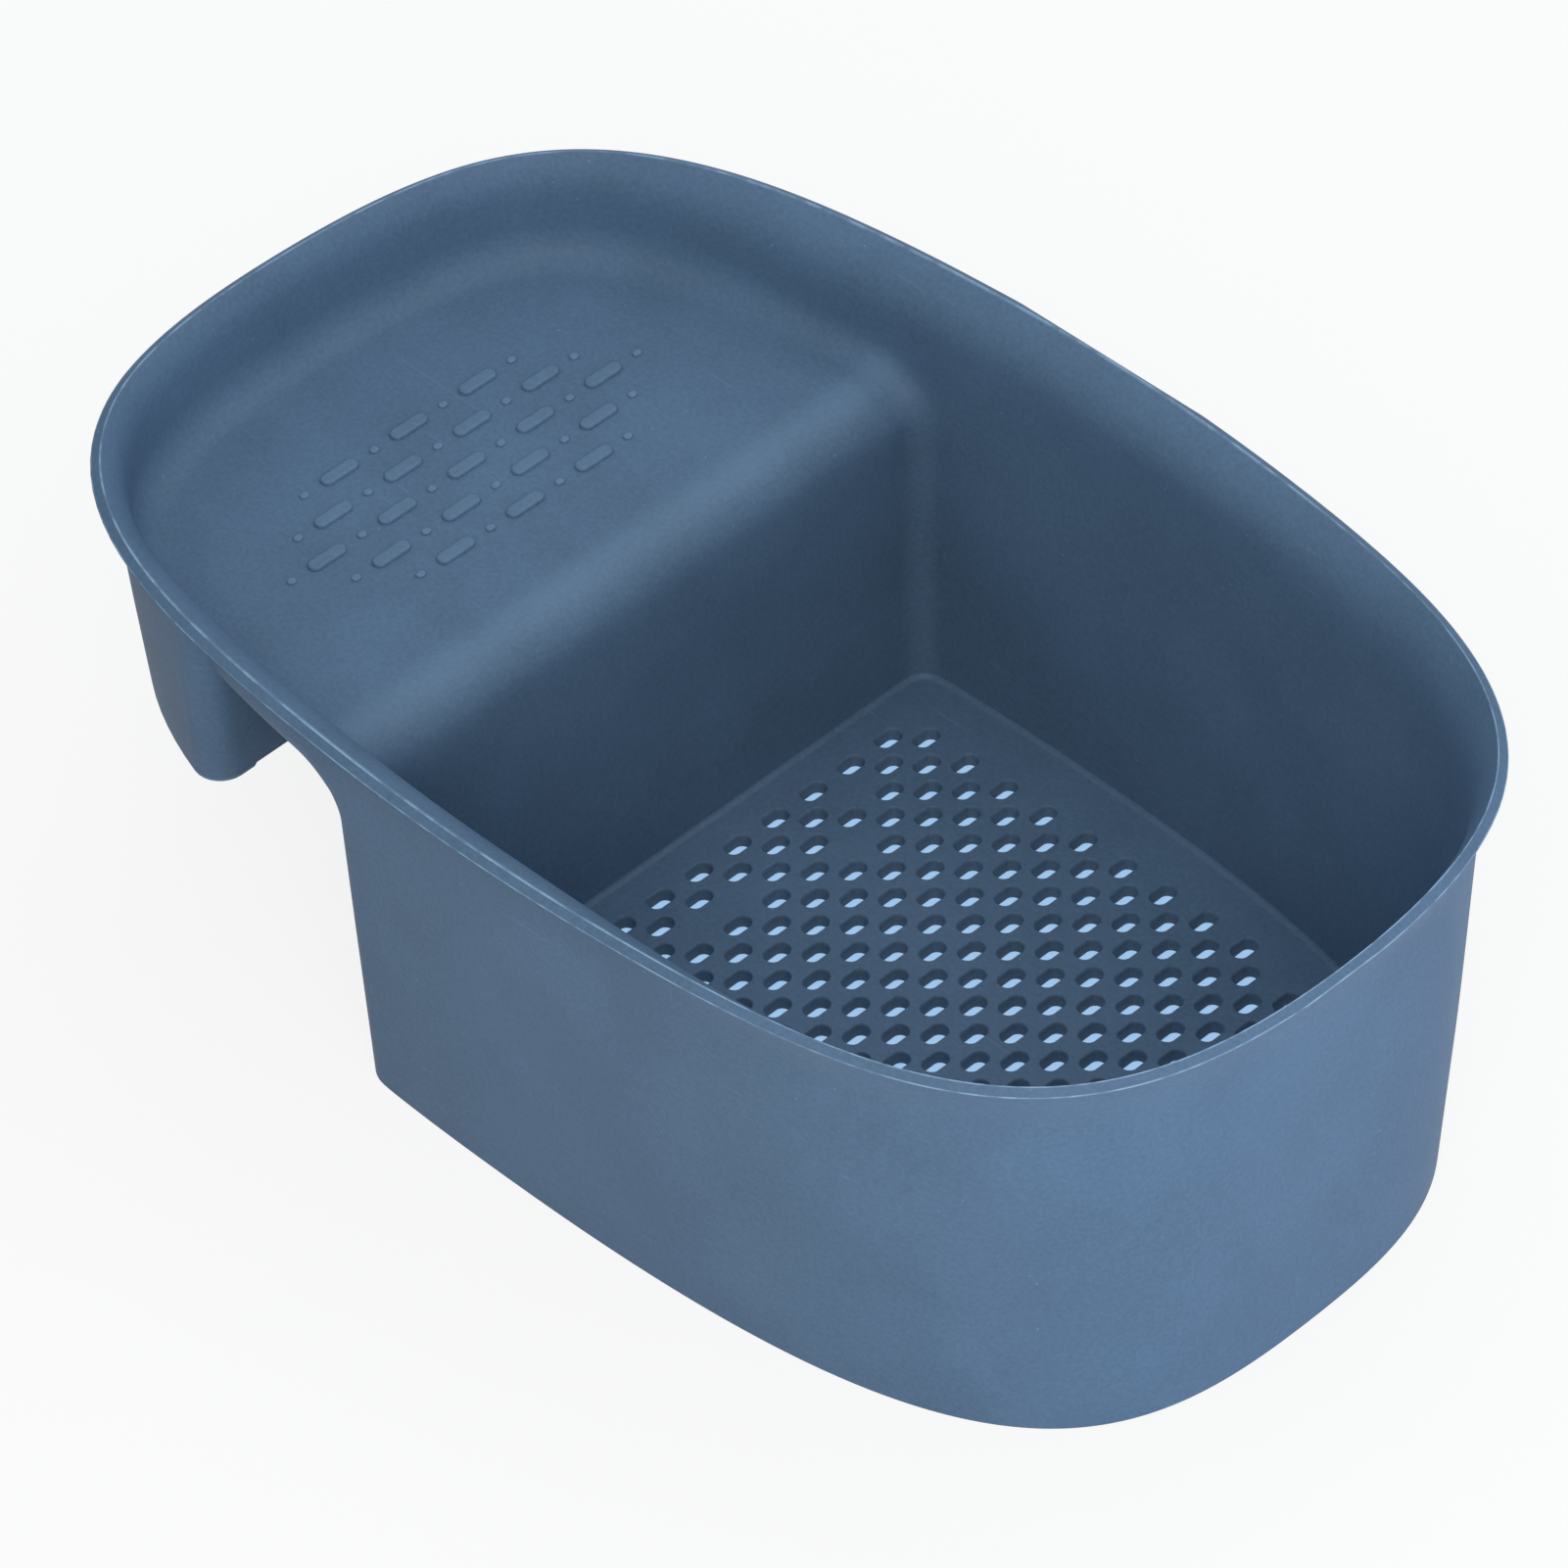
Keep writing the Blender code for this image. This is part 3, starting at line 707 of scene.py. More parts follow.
def smoothed(name, ring, marks):
    """Mesh through a closed ring of rows, made smooth, with its marks as material numbers."""
    skin = woven(name, ring)
    bpy.ops.object.mode_set(mode="OBJECT")
    for _ in PIECES:
        skin.data.materials.append(None)
    skin.data.polygons.foreach_set("material_index", marks)
    skin.data.update()
    smoother = skin.modifiers.new("Smooth", "SUBSURF")
    smoother.levels = SMOOTH_LEVELS
    smoother.render_levels = SMOOTH_LEVELS
    smoother.boundary_smooth = "PRESERVE_CORNERS"
    bpy.ops.object.modifier_apply(modifier=smoother.name)
    return skin


def shell_skin(sizes):
    """Both skins of the shell as points, the inner one's normals, faces and their marks."""
    half = half_cage(sizes)
    other = half[:, -2:0:-1].copy()
    other[..., 1] *= -1
    ring = np.concatenate((half, other, half[:, :1]), axis=1)
    rows, columns = ring.shape[:2]
    marks = []
    for row in range(rows - 1):
        for column in range(columns - 1):
            mirrored = column if column < LAST_COLUMN else 2 * LAST_COLUMN - 1 - column
            marks.append(PIECES.index(piece_of_cell(row, mirrored)))
    skin = smoothed("skin", ring, marks)
    mesh = skin.data
    count = len(mesh.vertices)
    points = np.zeros(count * 3)
    mesh.vertices.foreach_get("co", points)
    points = uneven(sizes, points.reshape(-1, 3))
    mesh.vertices.foreach_set("co", points.reshape(-1))
    mesh.update()
    normals = np.zeros(count * 3)
    mesh.vertex_normals.foreach_get("vector", normals)
    normals = normals.reshape(-1, 3)
    faces = np.zeros(len(mesh.polygons) * 4, int)
    mesh.loops.foreach_get("vertex_index", faces)
    faces = faces.reshape(-1, 4)
    marks = np.zeros(len(faces), int)
    mesh.polygons.foreach_get("material_index", marks)
    on_shelf = np.array([sizes.grip_middle_x, 0, sizes.shelf_height])
    away = np.abs(points[faces].mean(axis=1) - on_shelf).sum(axis=1)
    if normals[faces[int(np.argmin(away))][0]][2] < 0:
        normals = -normals
        faces = faces[:, ::-1]
    bpy.data.objects.remove(skin, do_unlink=True)
    return points, outer_side(sizes, points, normals), normals, faces, marks


def outer_side(sizes, points, normals):
    """Points of the outer skin, which ends at the rim in an edge of constant width."""
    tilt = np.arcsin(np.clip(normals[:, 2], -1.0, 1.0))
    tilt = np.minimum(tilt, math.atan2(sizes.edge_drop, sizes.edge_width))
    flat = np.maximum(np.linalg.norm(normals[:, :2], axis=1), 1e-9)[:, None]
    out = -normals[:, :2] / flat
    flared = np.concatenate((out * np.cos(tilt)[:, None], -np.sin(tilt)[:, None]), axis=1)
    high = (points[:, 2] > sizes.top - FLARE_DEPTH)[:, None]
    outer = points + sizes.wall * np.where(high, flared, -normals)
    at_rim = points[:, 2] > sizes.top - TOLERANCE
    outer[at_rim, :2] = points[at_rim, :2] + out[at_rim] * sizes.edge_width
    outer[at_rim, 2] = sizes.top - sizes.edge_drop
    outer[:, 0] = np.clip(outer[:, 0], BOX_LOW.x, BOX_HIGH.x)
    outer[:, 1] = np.clip(outer[:, 1], BOX_LOW.y, BOX_HIGH.y)
    outer[:, 2] = np.maximum(outer[:, 2], 0.0)
    return outer


def thick_piece(name, skin, sizes, index):
    """Closed piece of the shell: its part of both skins, joined along their borders."""
    points, outer_points, normals, faces, marks = skin
    used, local = np.unique(faces[marks == index], return_inverse=True)
    mine = local.reshape(-1, 4)
    inner, outer, lean = points[used], outer_points[used], normals[used]
    at_rim = inner[:, 2] > sizes.top - TOLERANCE
    count = len(used)
    quads = [tuple(face) for face in mine]
    shades = [[lean[v] for v in face] for face in mine]
    for face in mine:
        quads.append(tuple(v + count for v in face[::-1]))
        shades.append([-lean[v] for v in face[::-1]])

    border = {}
    for a, b, c, d in mine:
        for pair in ((a, b), (b, c), (c, d), (d, a)):
            if pair[::-1] in border:
                del border[pair[::-1]]
            else:
                border[pair] = True
    verts = [*inner, *outer]
    # Strength of the painted highlight line along the rim's cut edge, for each point.
    pale = [1.0 if rim else 0.0 for rim in at_rim] * 2
    chains = {}
    for a, b in border:
        for v in (a, b):
            if at_rim[v] and v not in chains:
                chains[v] = [v]
                for step, strength in EDGE_STEPS:
                    chains[v].append(len(verts))
                    verts.append(blend(inner[v], outer[v], step))
                    pale.append(strength)
                chains[v].append(v + count)
        face = np.cross(inner[a] - inner[b], outer[a] - inner[a])
        face = face / max(np.linalg.norm(face), 1e-12)
        if at_rim[a] and at_rim[b]:
            tones = [
                [lean[v] + face] + [face] * len(EDGE_STEPS) + [face - lean[v]] for v in (a, b)
            ]
            for k in range(len(EDGE_STEPS) + 1):
                low, high = chains[a], chains[b]
                quads.append((high[k], low[k], low[k + 1], high[k + 1]))
                shades.append([tones[1][k], tones[0][k], tones[0][k + 1], tones[1][k + 1]])
        else:
            quads.append((b, a, a + count, b + count))
            shades.append([face] * 4)
    thing = make_mesh(name, verts, quads, shades)
    line = thing.data.attributes.new("edge_highlight", "FLOAT", "POINT")
    line.data.foreach_set("value", pale)
    return thing


def make_mesh(name, verts, faces, shades):
    """Smooth mesh with a normal of its own for each corner of each face."""
    mesh = bpy.data.meshes.new(name)
    faces = [tuple(int(i) for i in face) for face in faces]
    mesh.from_pydata([tuple(v) for v in verts], [], faces)
    mesh.polygons.foreach_set("use_smooth", [True] * len(faces))
    mesh.validate()
    loops = [Vector(n).normalized() for shade in shades for n in shade]
    mesh.normals_split_custom_set(loops)
    mesh.update()
    return put(name, mesh)


# ---------------------------------------------------------------- the drain floor

def floor_ring(skin):
    """Lowest ring of the shell's inner side: its places, outward directions and leans."""
    points, _, normals = skin[:3]
    low = points[:, 2] < TOLERANCE
    turn = np.arctan2(points[low, 1], points[low, 0] - BASKET_MIDDLE)
    order = np.argsort(turn)
    places, normals = points[low][order][:, :2], normals[low][order]
    size = np.linalg.norm(normals[:, :2], axis=1)[:, None]
    return places, -normals[:, :2] / size, normals[:, 2:] / size


def slot_places(sizes):
    """Middles of the slots: staggered rows, kept clear of the walls."""
    oval = Oval(sizes)
    wider = (BOX_HIGH.y - BOX_LOW.y - sizes.rim_width) / 2
    last_x = sizes.rim_length / 2 - sizes.slot_margin
    reach = int(sizes.rim_width / sizes.slot_pitch_y)
    places = []
    rows = int((last_x - sizes.slot_first_x) / (sizes.slot_pitch_x / 2)) + 1
    for row in range(rows):
        x = sizes.slot_first_x + row * sizes.slot_pitch_x / 2
        at = oval.angle_at(np.array(x), sizes.slot_margin)
        limit = float(oval.point(at, sizes.slot_margin)[1]) + wider
        shift = -SLOT_SHIFT if row % 2 else SLOT_SHIFT
        for column in range(-reach, reach + 1):
            place = column + shift
            y = place * sizes.slot_pitch_y
            if abs(place) * sizes.slot_pitch_y <= limit and (row, place) not in SOLID_PLACES:
                places.append((x + SLOT_NUDGE[0], y + SLOT_NUDGE[1]))
    return places


def stretch(thing, distance):
    """In edit mode, move the two halves of a round shape apart along Y."""
    for side in (-1, 1):
        choose(thing, lambda place: place.y * side > 0)
        bpy.ops.transform.translate(value=(0.0, side * distance, 0.0))
    choose_all()


def turn_corners(corners):
    """In edit mode, turn a round shape by half a side, so that none of its corners is on X."""
    bpy.ops.transform.rotate(
        value=math.pi / corners, orient_axis="Z", center_override=(0.0, 0.0, 0.0)
    )


def slot_hollows(sizes):
    """Every slot's funnel as one cutting tool."""
    rings = [(z * MM, width * MM, long * MM) for z, width, long in SLOT_RINGS]
    last_z, last_width, last_long = rings[0]
    deselect()
    bpy.ops.mesh.primitive_circle_add(
        vertices=SLOT_CORNERS, radius=last_width / 2, fill_type="NOTHING",
        location=(0.0, 0.0, 0.0),
    )
    hollow = bpy.context.object
    hollow.name = "slot_hollows"
    bpy.ops.object.mode_set(mode="EDIT")
    choose_all()
    bpy.ops.transform.translate(value=(0.0, 0.0, last_z))
    turn_corners(SLOT_CORNERS)
    stretch(hollow, (last_long - last_width) / 2)
    for z, width, long in rings[1:]:
        rise = (0.0, 0.0, z - last_z)
        bpy.ops.mesh.extrude_region_move(TRANSFORM_OT_translate={"value": rise})
        grow = (width / last_width, long / last_long, 1.0)
        bpy.ops.transform.resize(value=grow, center_override=(0.0, 0.0, z))
        last_z, last_width, last_long = z, width, long
    close_up()
    return repeat(hollow, slot_places(sizes))


def drain_floor(sizes, skin):
    """Perforated floor, filleted into the walls."""
    places, out, lean = floor_ring(skin)
    top, fillet = sizes.floor_thickness, sizes.floor_fillet
    profile = [
        (
            fillet * (1.0 - math.sin(turn)) - FILLET_LAP,
            top + fillet * (1.0 - math.cos(turn)),
        )
        for turn in np.linspace(0.0, math.pi / 2, FILLET_POINTS)
    ]
    profile += [(-SUNK, top + fillet), (-SUNK, FLOOR_LIFT)]
    rows = []
    for inset, z in profile:
        ring = places + out * (lean * z - inset)
        ring = np.concatenate((ring, ring[:1]))
        rows.append(np.concatenate((ring, np.full((len(ring), 1), z)), axis=1))
    floor = woven("drain_plate", np.array(rows))
    close_up()
    cut_away(floor, slot_hollows(sizes))
    smooth_round(floor, FLOOR_BEND)
    return floor


# ---------------------------------------------------------------- the leg

def leg_outline(sizes, oval, z, inset, depth):
    """Closed outline of the leg's skirt at a height and a depth into its wall."""
    drop = sizes.shelf_height - sizes.wall - z
    front = sizes.leg_front - drop * math.tan(sizes.leg_front_draft) - depth
    radius = sizes.leg_corner - depth
    centre_x = front - radius
    at = float(oval.angle_at(np.array(centre_x), inset + sizes.leg_corner))
    centre_y = float(oval.point(at, inset + sizes.leg_corner)[1])
    nx, ny = oval.normal(at)
    step = centre_y + sizes.leg_corner - LEG_STEP_PLACE
    ramp_end = (step + centre_y) / 2 + LEG_STEP_RAMP / 2
    web_y = np.array([0.0, step / 3, step * 2 / 3, step, step + LEG_STEP_RAMP, ramp_end])
    turns = np.linspace(0.0, math.atan2(ny, nx), LEG_CORNER_POINTS)
    angles = np.linspace(at, math.pi, LEG_ROUND_POINTS)[1:]
    x, y = oval.point(angles, inset + depth)
    corner_x = centre_x + radius * np.cos(turns)
    corner_y = centre_y + radius * np.sin(turns)
    half = np.concatenate((
        np.stack([np.full_like(web_y, front), web_y], axis=1),
        np.stack([corner_x, corner_y], axis=1),
        np.stack([x, y], axis=1),
    ))
    half[-1, 1] = 0.0
    other = half[-2:0:-1] * (1.0, -1.0)
    ring = np.concatenate((half, other, half[:1]))
    raised = np.abs(ring[:, 1]) < step + LEG_STEP_REACH
    raised &= ring[:, 0] > front - LEG_STEP_REACH
    return ring, raised


def leg_skirt(sizes, skin):
    """Skirt of the leg, cut to fit under the shell."""
    oval = Oval(sizes)
    foot = sizes.leg_bottom
    top, top_inset = LEG_FLARE_TOP[0] * MM, LEG_FLARE_TOP[1] * MM
    start = LEG_ROWS[-1] * MM

    def straight(z):
        return sizes.leg_inset + (sizes.shelf_height - sizes.wall - z) * math.tan(sizes.leg_draft)

    rise, reach = top - start, straight(start) - top_inset
    tilt = 2.0 * math.atan(reach / rise) - sizes.leg_draft
    radius = rise / (math.sin(tilt) - math.sin(sizes.leg_draft))
    profile = [(foot + up * MM, straight(foot), deep * MM) for up, deep in LEG_FOOT_EDGE]
    profile += [(z * MM, straight(z * MM), 0.0) for z in LEG_ROWS]
    for turn in np.linspace(sizes.leg_draft, tilt, LEG_FLARE_ROWS)[1:]:
        z = start + radius * (math.sin(turn) - math.sin(sizes.leg_draft))
        inset = straight(start) - radius * (math.cos(sizes.leg_draft) - math.cos(turn))
        profile.append((z, inset, 0.0))
    profile += [(z, inset, sizes.wall - depth) for z, inset, depth in profile[::-1]]
    profile.append(profile[0])
    rows = []
    for z, inset, depth in profile:
        ring, raised = leg_outline(sizes, oval, z, inset, depth)
        height = z + np.where(raised & (z < foot + LEG_STEP_HEIGHT), sizes.leg_step, 0.0)
        rows.append(np.concatenate((ring, height[:, None]), axis=1))
    rows = np.array(rows)
    rows = uneven(sizes, rows.reshape(-1, 3)).reshape(rows.shape)
    skirt = woven("leg_skirt", rows)
    close_up()
    cut_away(skirt, shell_core(sizes, skin))
    smooth_round(skirt, SKIRT_BEND)
    return skirt


def shell_core(sizes, skin):
    """Closed shape from the middle of the shell's thickness up to above the rim."""
    points, outer_points, _, faces, _ = skin
    mesh = bpy.data.meshes.new("shell_core")
    mesh.from_pydata(((points + outer_points) / 2).tolist(), [], faces.tolist())
    core = put("shell_core", mesh)
    make_active(core)
    bpy.ops.object.mode_set(mode="EDIT")
    choose(core, lambda place: place.z > sizes.top - CORE_RIM)
    rise = (0.0, 0.0, CORE_RISE)
    bpy.ops.mesh.extrude_region_move(TRANSFORM_OT_translate={"value": rise})
    close_up()
    return core


# ---------------------------------------------------------------- the grips

def pad(name, sizes, width, long, height, corners):
    """Low round-ended pad on the shelf, with a softened upper edge."""
    deselect()
    bpy.ops.mesh.primitive_cylinder_add(
        vertices=corners, radius=width / 2, depth=height + PAD_SUNK,
        location=(0.0, 0.0, sizes.shelf_height + (height - PAD_SUNK) / 2),
    )
    thing = bpy.context.object
    thing.name = name
    bpy.ops.object.mode_set(mode="EDIT")
    choose_all()
    turn_corners(corners)
    stretch(thing, (long - width) / 2)
    choose(thing, lambda place: place.z > 0)
    bpy.ops.mesh.bevel(offset=height * PAD_BEVEL, segments=PAD_BEVEL_STEPS)
    choose_all()
    bpy.ops.mesh.normals_make_consistent(inside=False)
    bpy.ops.object.mode_set(mode="OBJECT")
    return thing


def grip_places(sizes):
    """Middles of the grips, and of the dots between and beyond the grips of a column."""
    grips, dots = [], []
    middle = (len(GRIP_COLUMNS) - 1) / 2
    pitch = sizes.grip_pitch_y
    for column, count in enumerate(GRIP_COLUMNS):
        x = sizes.grip_middle_x + (column - middle) * sizes.grip_pitch_x
        grips += [(x, (index - (count - 1) / 2) * pitch) for index in range(count)]
        dots += [(x, (index - count / 2) * pitch) for index in range(count + 1)]
    return grips, dots


def dress(thing, material, *nodes):
    """Give a finished piece its material, its body and the nodes that it stands for."""
    thing.data.materials.clear()
    thing.data.materials.append(material)
    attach(thing, "root")
    if nodes:
        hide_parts(*nodes)


# ---------------------------------------------------------------- materials

class Wiring:
    """Short calls that add nodes to a tree and link them."""

    def __init__(self, tree):
        self.tree = tree

    def add(self, kind, **settings):
        """Node with its plain settings."""
        node = self.tree.nodes.new(kind)
        for name, value in settings.items():
            setattr(node, name, value)
        return node

    def feed(self, sockets, **values):
        """Link or set sockets, each given by its name with _ for a space."""
        for name, value in values.items():
            self.join(value, sockets[name.replace("_", " ")])

    def join(self, value, socket):
        """Link an output to a socket, or set the socket to a plain value."""
        if isinstance(value, bpy.types.NodeSocket):
            self.tree.links.new(value, socket)
        else:
            socket.default_value = value

    def place(self):
        return self.add("ShaderNodeTexCoord").outputs["Object"]

    def axes(self):
        split = self.add("ShaderNodeSeparateXYZ")
        self.join(self.place(), split.inputs[0])
        return split.outputs

    def calc(self, operation, *values):
        node = self.add("ShaderNodeMath", operation=operation)
        for value, socket in zip(values, node.inputs):
            self.join(value, socket)
        return node.outputs[0]

    def ramp(self, value, low, high, least=0.0, kind="LINEAR"):
        """Rise from least to 1 as the value goes from low to high."""
        node = self.add("ShaderNodeMapRange", interpolation_type=kind)
        self.feed(node.inputs, Value=value, From_Min=low, From_Max=high, To_Min=least)
        return node.outputs["Result"]

    def noise(self, place, scale, detail):
        node = self.add("ShaderNodeTexNoise")
        self.feed(node.inputs, Vector=place, Scale=scale, Detail=detail)
        return node.outputs["Fac"]

    def mix(self, factor, first, second):
        node = self.add("ShaderNodeMix", data_type="RGBA")
        self.feed(node.inputs, Factor=factor, A=first, B=second)
        return node.outputs["Result"]

    def group(self, tree, **values):
        """Outputs of a node group that is placed with its own values."""
        node = self.add("ShaderNodeGroup", node_tree=tree)
        self.feed(node.inputs, **values)
        return node.outputs


def node_group(name, inputs, outputs, fill):
    """Node group with named sockets, built once: fill wires its inputs to its outputs."""
    tree = bpy.data.node_groups.get(name)
    if tree:
        return tree
    tree = bpy.data.node_groups.new(name, "ShaderNodeTree")
    for side, sockets in (("INPUT", inputs), ("OUTPUT", outputs)):
        for socket, kind, *value in sockets:
            made = tree.interface.new_socket(
                name=socket, in_out=side, socket_type="NodeSocket" + kind
            )
            if value:
                made.default_value = value[0]
    wiring = Wiring(tree)
    fill(wiring, wiring.add("NodeGroupInput").outputs, wiring.add("NodeGroupOutput").inputs)
    return tree


def spots(wiring, place, scale, radius, share):
    """Small round spots, at some of the points of a loose grid."""
    node = wiring.add("ShaderNodeTexVoronoi")
    wiring.feed(node.inputs, Vector=place, Scale=scale)
    split = wiring.add("ShaderNodeSeparateColor")
    wiring.join(node.outputs["Color"], split.inputs[0])
    chosen = wiring.calc("GREATER_THAN", split.outputs[0], 1.0 - share)
    round_spots = wiring.ramp(node.outputs["Distance"], radius, radius * 0.4)
    return wiring.calc("MULTIPLY", round_spots, chosen)


def scuffs(wiring, place):
    """Faint long scratches that show in some places."""
    squeeze = wiring.add("ShaderNodeMapping")
    wiring.feed(
        squeeze.inputs, Vector=place, Rotation=(0.3, 0.2, 0.9), Scale=(25.0, 900.0, 900.0)
    )
    scratch = wiring.ramp(wiring.noise(squeeze.outputs[0], 1.0, 2.0), 0.66, 0.74)
    where = wiring.ramp(wiring.noise(place, 38.0, 1.0), 0.5, 0.62)
    return wiring.calc("MULTIPLY", scratch, where)


def fill_finish(wiring, given, result):
    """Mottle, scuffs, specks and pinholes as a colour, with painted shade in the pinholes, and
    the grain as a normal.
    """
    place = wiring.place()

    def part(value, amount):
        return wiring.calc("MULTIPLY", value, amount)

    def shade(amount):
        node = wiring.add("ShaderNodeVectorMath", operation="SCALE")
        wiring.join(given["Plastic"], node.inputs[0])
        wiring.feed(node.inputs, Scale=amount)
        return node.outputs[0]

    broad = wiring.noise(place, 45.0, 3.0)
    fine = wiring.noise(place, given["Mottle Scale"], 4.0)
    grain = wiring.noise(place, given["Grain Scale"], 2.0)
    mottle = wiring.calc(
        "ADD", part(wiring.ramp(broad, 0.35, 0.65), 0.35), part(wiring.ramp(fine, 0.3, 0.7), 0.65)
    )
    specks = spots(wiring, place, 240.0, 0.07, 0.22)
    pinholes = spots(wiring, place, 330.0, 0.06, 0.25)
    colour = wiring.mix(mottle, shade(0.86), shade(1.14))
    colour = wiring.mix(part(scuffs(wiring, place), 0.1), colour, given["Pale Plastic"])
    colour = wiring.mix(part(specks, 0.35), colour, given["Pale Plastic"])
    # Painted shade: the pinholes are darkened in colour as well as sunk by the bump.
    colour = wiring.mix(part(pinholes, 0.5), colour, shade(0.3))
    height = wiring.calc("ADD", part(fine, 0.5), part(grain, 0.35))
    height = wiring.calc("SUBTRACT", height, part(pinholes, 0.6))
    bump = wiring.add("ShaderNodeBump")
    wiring.feed(bump.inputs, Distance=0.00012, Strength=given["Bump"], Height=height)
    wiring.feed(result, Colour=colour, Normal=bump.outputs["Normal"])


def fill_band(wiring, given, result):
    """A mask that is full at the middle and fades out over the width."""
    away = wiring.calc("ABSOLUTE", wiring.calc("SUBTRACT", given["Place"], given["Middle"]))
    wiring.feed(result, Mask=wiring.ramp(away, given["Width"], 0.0, kind="SMOOTHSTEP"))


def moulded_finish():
    inputs = (
        ("Plastic", "Color"), ("Pale Plastic", "Color"), ("Mottle Scale", "Float", 1100.0),
        ("Grain Scale", "Float", 2600.0), ("Bump", "Float", 0.35),
    )
    outputs = (("Colour", "Color"), ("Normal", "Vector"))
    return node_group("moulded finish", inputs, outputs, fill_finish)


def highlight_band():
    inputs = (("Place", "Float"), ("Middle", "Float"), ("Width", "Float"))
    return node_group("rubbed band", inputs, (("Mask", "Float"),), fill_band)


def blue_plastic(name, highlight_mask=None):
    """The plastic, which turns pale where the mask is full that a painted highlight adds."""
    found = bpy.data.materials.get(name)
    if found:
        return found
    look = bpy.context.scene.basket_look
    material, wiring, shader = plain_material(name, look.roughness)
    shader["Specular IOR Level"].default_value = SPECULAR
    pale = look.pale[:]
    finish = wiring.group(moulded_finish(), Plastic=look.plastic[:], Pale_Plastic=pale)
    colour = finish["Colour"]
    if highlight_mask:
        colour = wiring.mix(highlight_mask(wiring), colour, pale)
    wiring.feed(shader, Base_Color=colour, Normal=finish["Normal"])
    return material


def plain_material(name, roughness, colour=None):
    """New material, its wiring and the inputs of its shader."""
    material = bpy.data.materials.new(name)
    material.use_nodes = True
    shader = material.node_tree.nodes["Principled BSDF"].inputs
    shader["Roughness"].default_value = roughness
    if colour:
        shader["Base Color"].default_value = colour
    return material, Wiring(material.node_tree), shader


def broken_edge_highlight(wiring):
    """Mask of the painted highlight line along each corner of the rim's cut edge."""
    line = wiring.add("ShaderNodeAttribute", attribute_name="edge_highlight")
    broken = wiring.ramp(wiring.noise(wiring.place(), 260.0, 4.0), 0.38, 0.6, least=0.25)
    return wiring.calc("MULTIPLY", line.outputs["Fac"], broken)


def highlit(strength, *bands):
    """Painted highlight near the middle of each band: axis, middle and width."""
    def highlight_mask(wiring):
        axes = wiring.axes()
        mask = strength
        for axis, middle, width in bands:
            band = wiring.group(highlight_band(), Place=axes[axis], Middle=middle, Width=width)
            mask = wiring.calc("MULTIPLY", band["Mask"], mask)
        return mask
    return highlight_mask


# ---------------------------------------------------------------- the studio

def white_floor():
    """Bright floor for the camera, for reflections and through clear plastic, with a painted
    reflection of the blue plastic under the basket.
    """
    material, wiring, shader = plain_material("white floor", 0.9, FLOOR_COLOUR)
    axes = wiring.axes()
    reach = []
    for axis, middle, half in BOUNCE_TINT_OVAL:
        away = wiring.calc("DIVIDE", wiring.calc("SUBTRACT", axes[axis], middle), half)
        reach.append(wiring.calc("POWER", wiring.calc("ABSOLUTE", away), BOUNCE_TINT_POWER))
    beside = wiring.calc("LESS_THAN", axes["X"], BOUNCE_TINT_END)
    outside = wiring.calc("ADD", wiring.calc("ADD", *reach), beside)
    # Painted pale blue reflection of the plastic on the floor under the basket.
    bounce_tint = wiring.add("ShaderNodeValToRGB")
    for element, (position, colour) in zip(bounce_tint.color_ramp.elements, BOUNCE_TINT_RAMP):
        element.color = colour
        element.position = position
    wiring.feed(bounce_tint.inputs, Fac=outside)
    glow = wiring.add("ShaderNodeEmission")
    wiring.feed(glow.inputs, Color=bounce_tint.outputs["Color"])
    ray = wiring.add("ShaderNodeLightPath").outputs
    seen = wiring.calc("MAXIMUM", ray["Is Camera Ray"], ray["Is Glossy Ray"])
    seen = wiring.calc("MAXIMUM", seen, ray["Is Transmission Ray"])
    mixer = wiring.add("ShaderNodeMixShader")
    nodes = wiring.tree.nodes
    share = wiring.calc("MULTIPLY", seen, FLOOR_GLOW)
    for value, socket in zip(
        (share, nodes["Principled BSDF"].outputs[0], glow.outputs[0]), mixer.inputs
    ):
        wiring.join(value, socket)
    wiring.join(mixer.outputs[0], nodes["Material Output"].inputs["Surface"])
    return material


def lay_floor():
    deselect()
    bpy.ops.mesh.primitive_plane_add(size=FLOOR_SIZE, location=(0.0, 0.0, FLOOR_DROP))
    floor = bpy.context.object
    floor.name = "studio_floor"
    floor.data.materials.append(white_floor())


def stand_card():
    deselect()
    turn = tuple(math.radians(part) for part in CARD_TURN)
    bpy.ops.mesh.primitive_plane_add(size=1.0, location=CARD_PLACE, rotation=turn)
    card = bpy.context.object
    card.name = "dark_card"
    card.scale = CARD_SIZE
    card.visible_camera = False
    card.data.materials.append(plain_material("black card", 0.5, CARD_COLOUR)[0])


def light_up(scene):
    scene.world = bpy.data.worlds.new("studio")
    scene.world.use_nodes = True
    background = scene.world.node_tree.nodes["Background"].inputs
    background["Color"].default_value = WORLD_COLOUR
    background["Strength"].default_value = WORLD_STRENGTH
    for name, place, size, power, colour in LAMPS:
        data = bpy.data.lights.new(name, "AREA")
        data.size = size
        data.energy = power
        data.color = colour
        lamp = put(name, data)
        lamp.location = place
        lamp.visible_diffuse = name != SHEEN
        ray = Vector(LAMP_TARGET) - Vector(place)
        lamp.rotation_euler = ray.to_track_quat("-Z", "Y").to_euler()


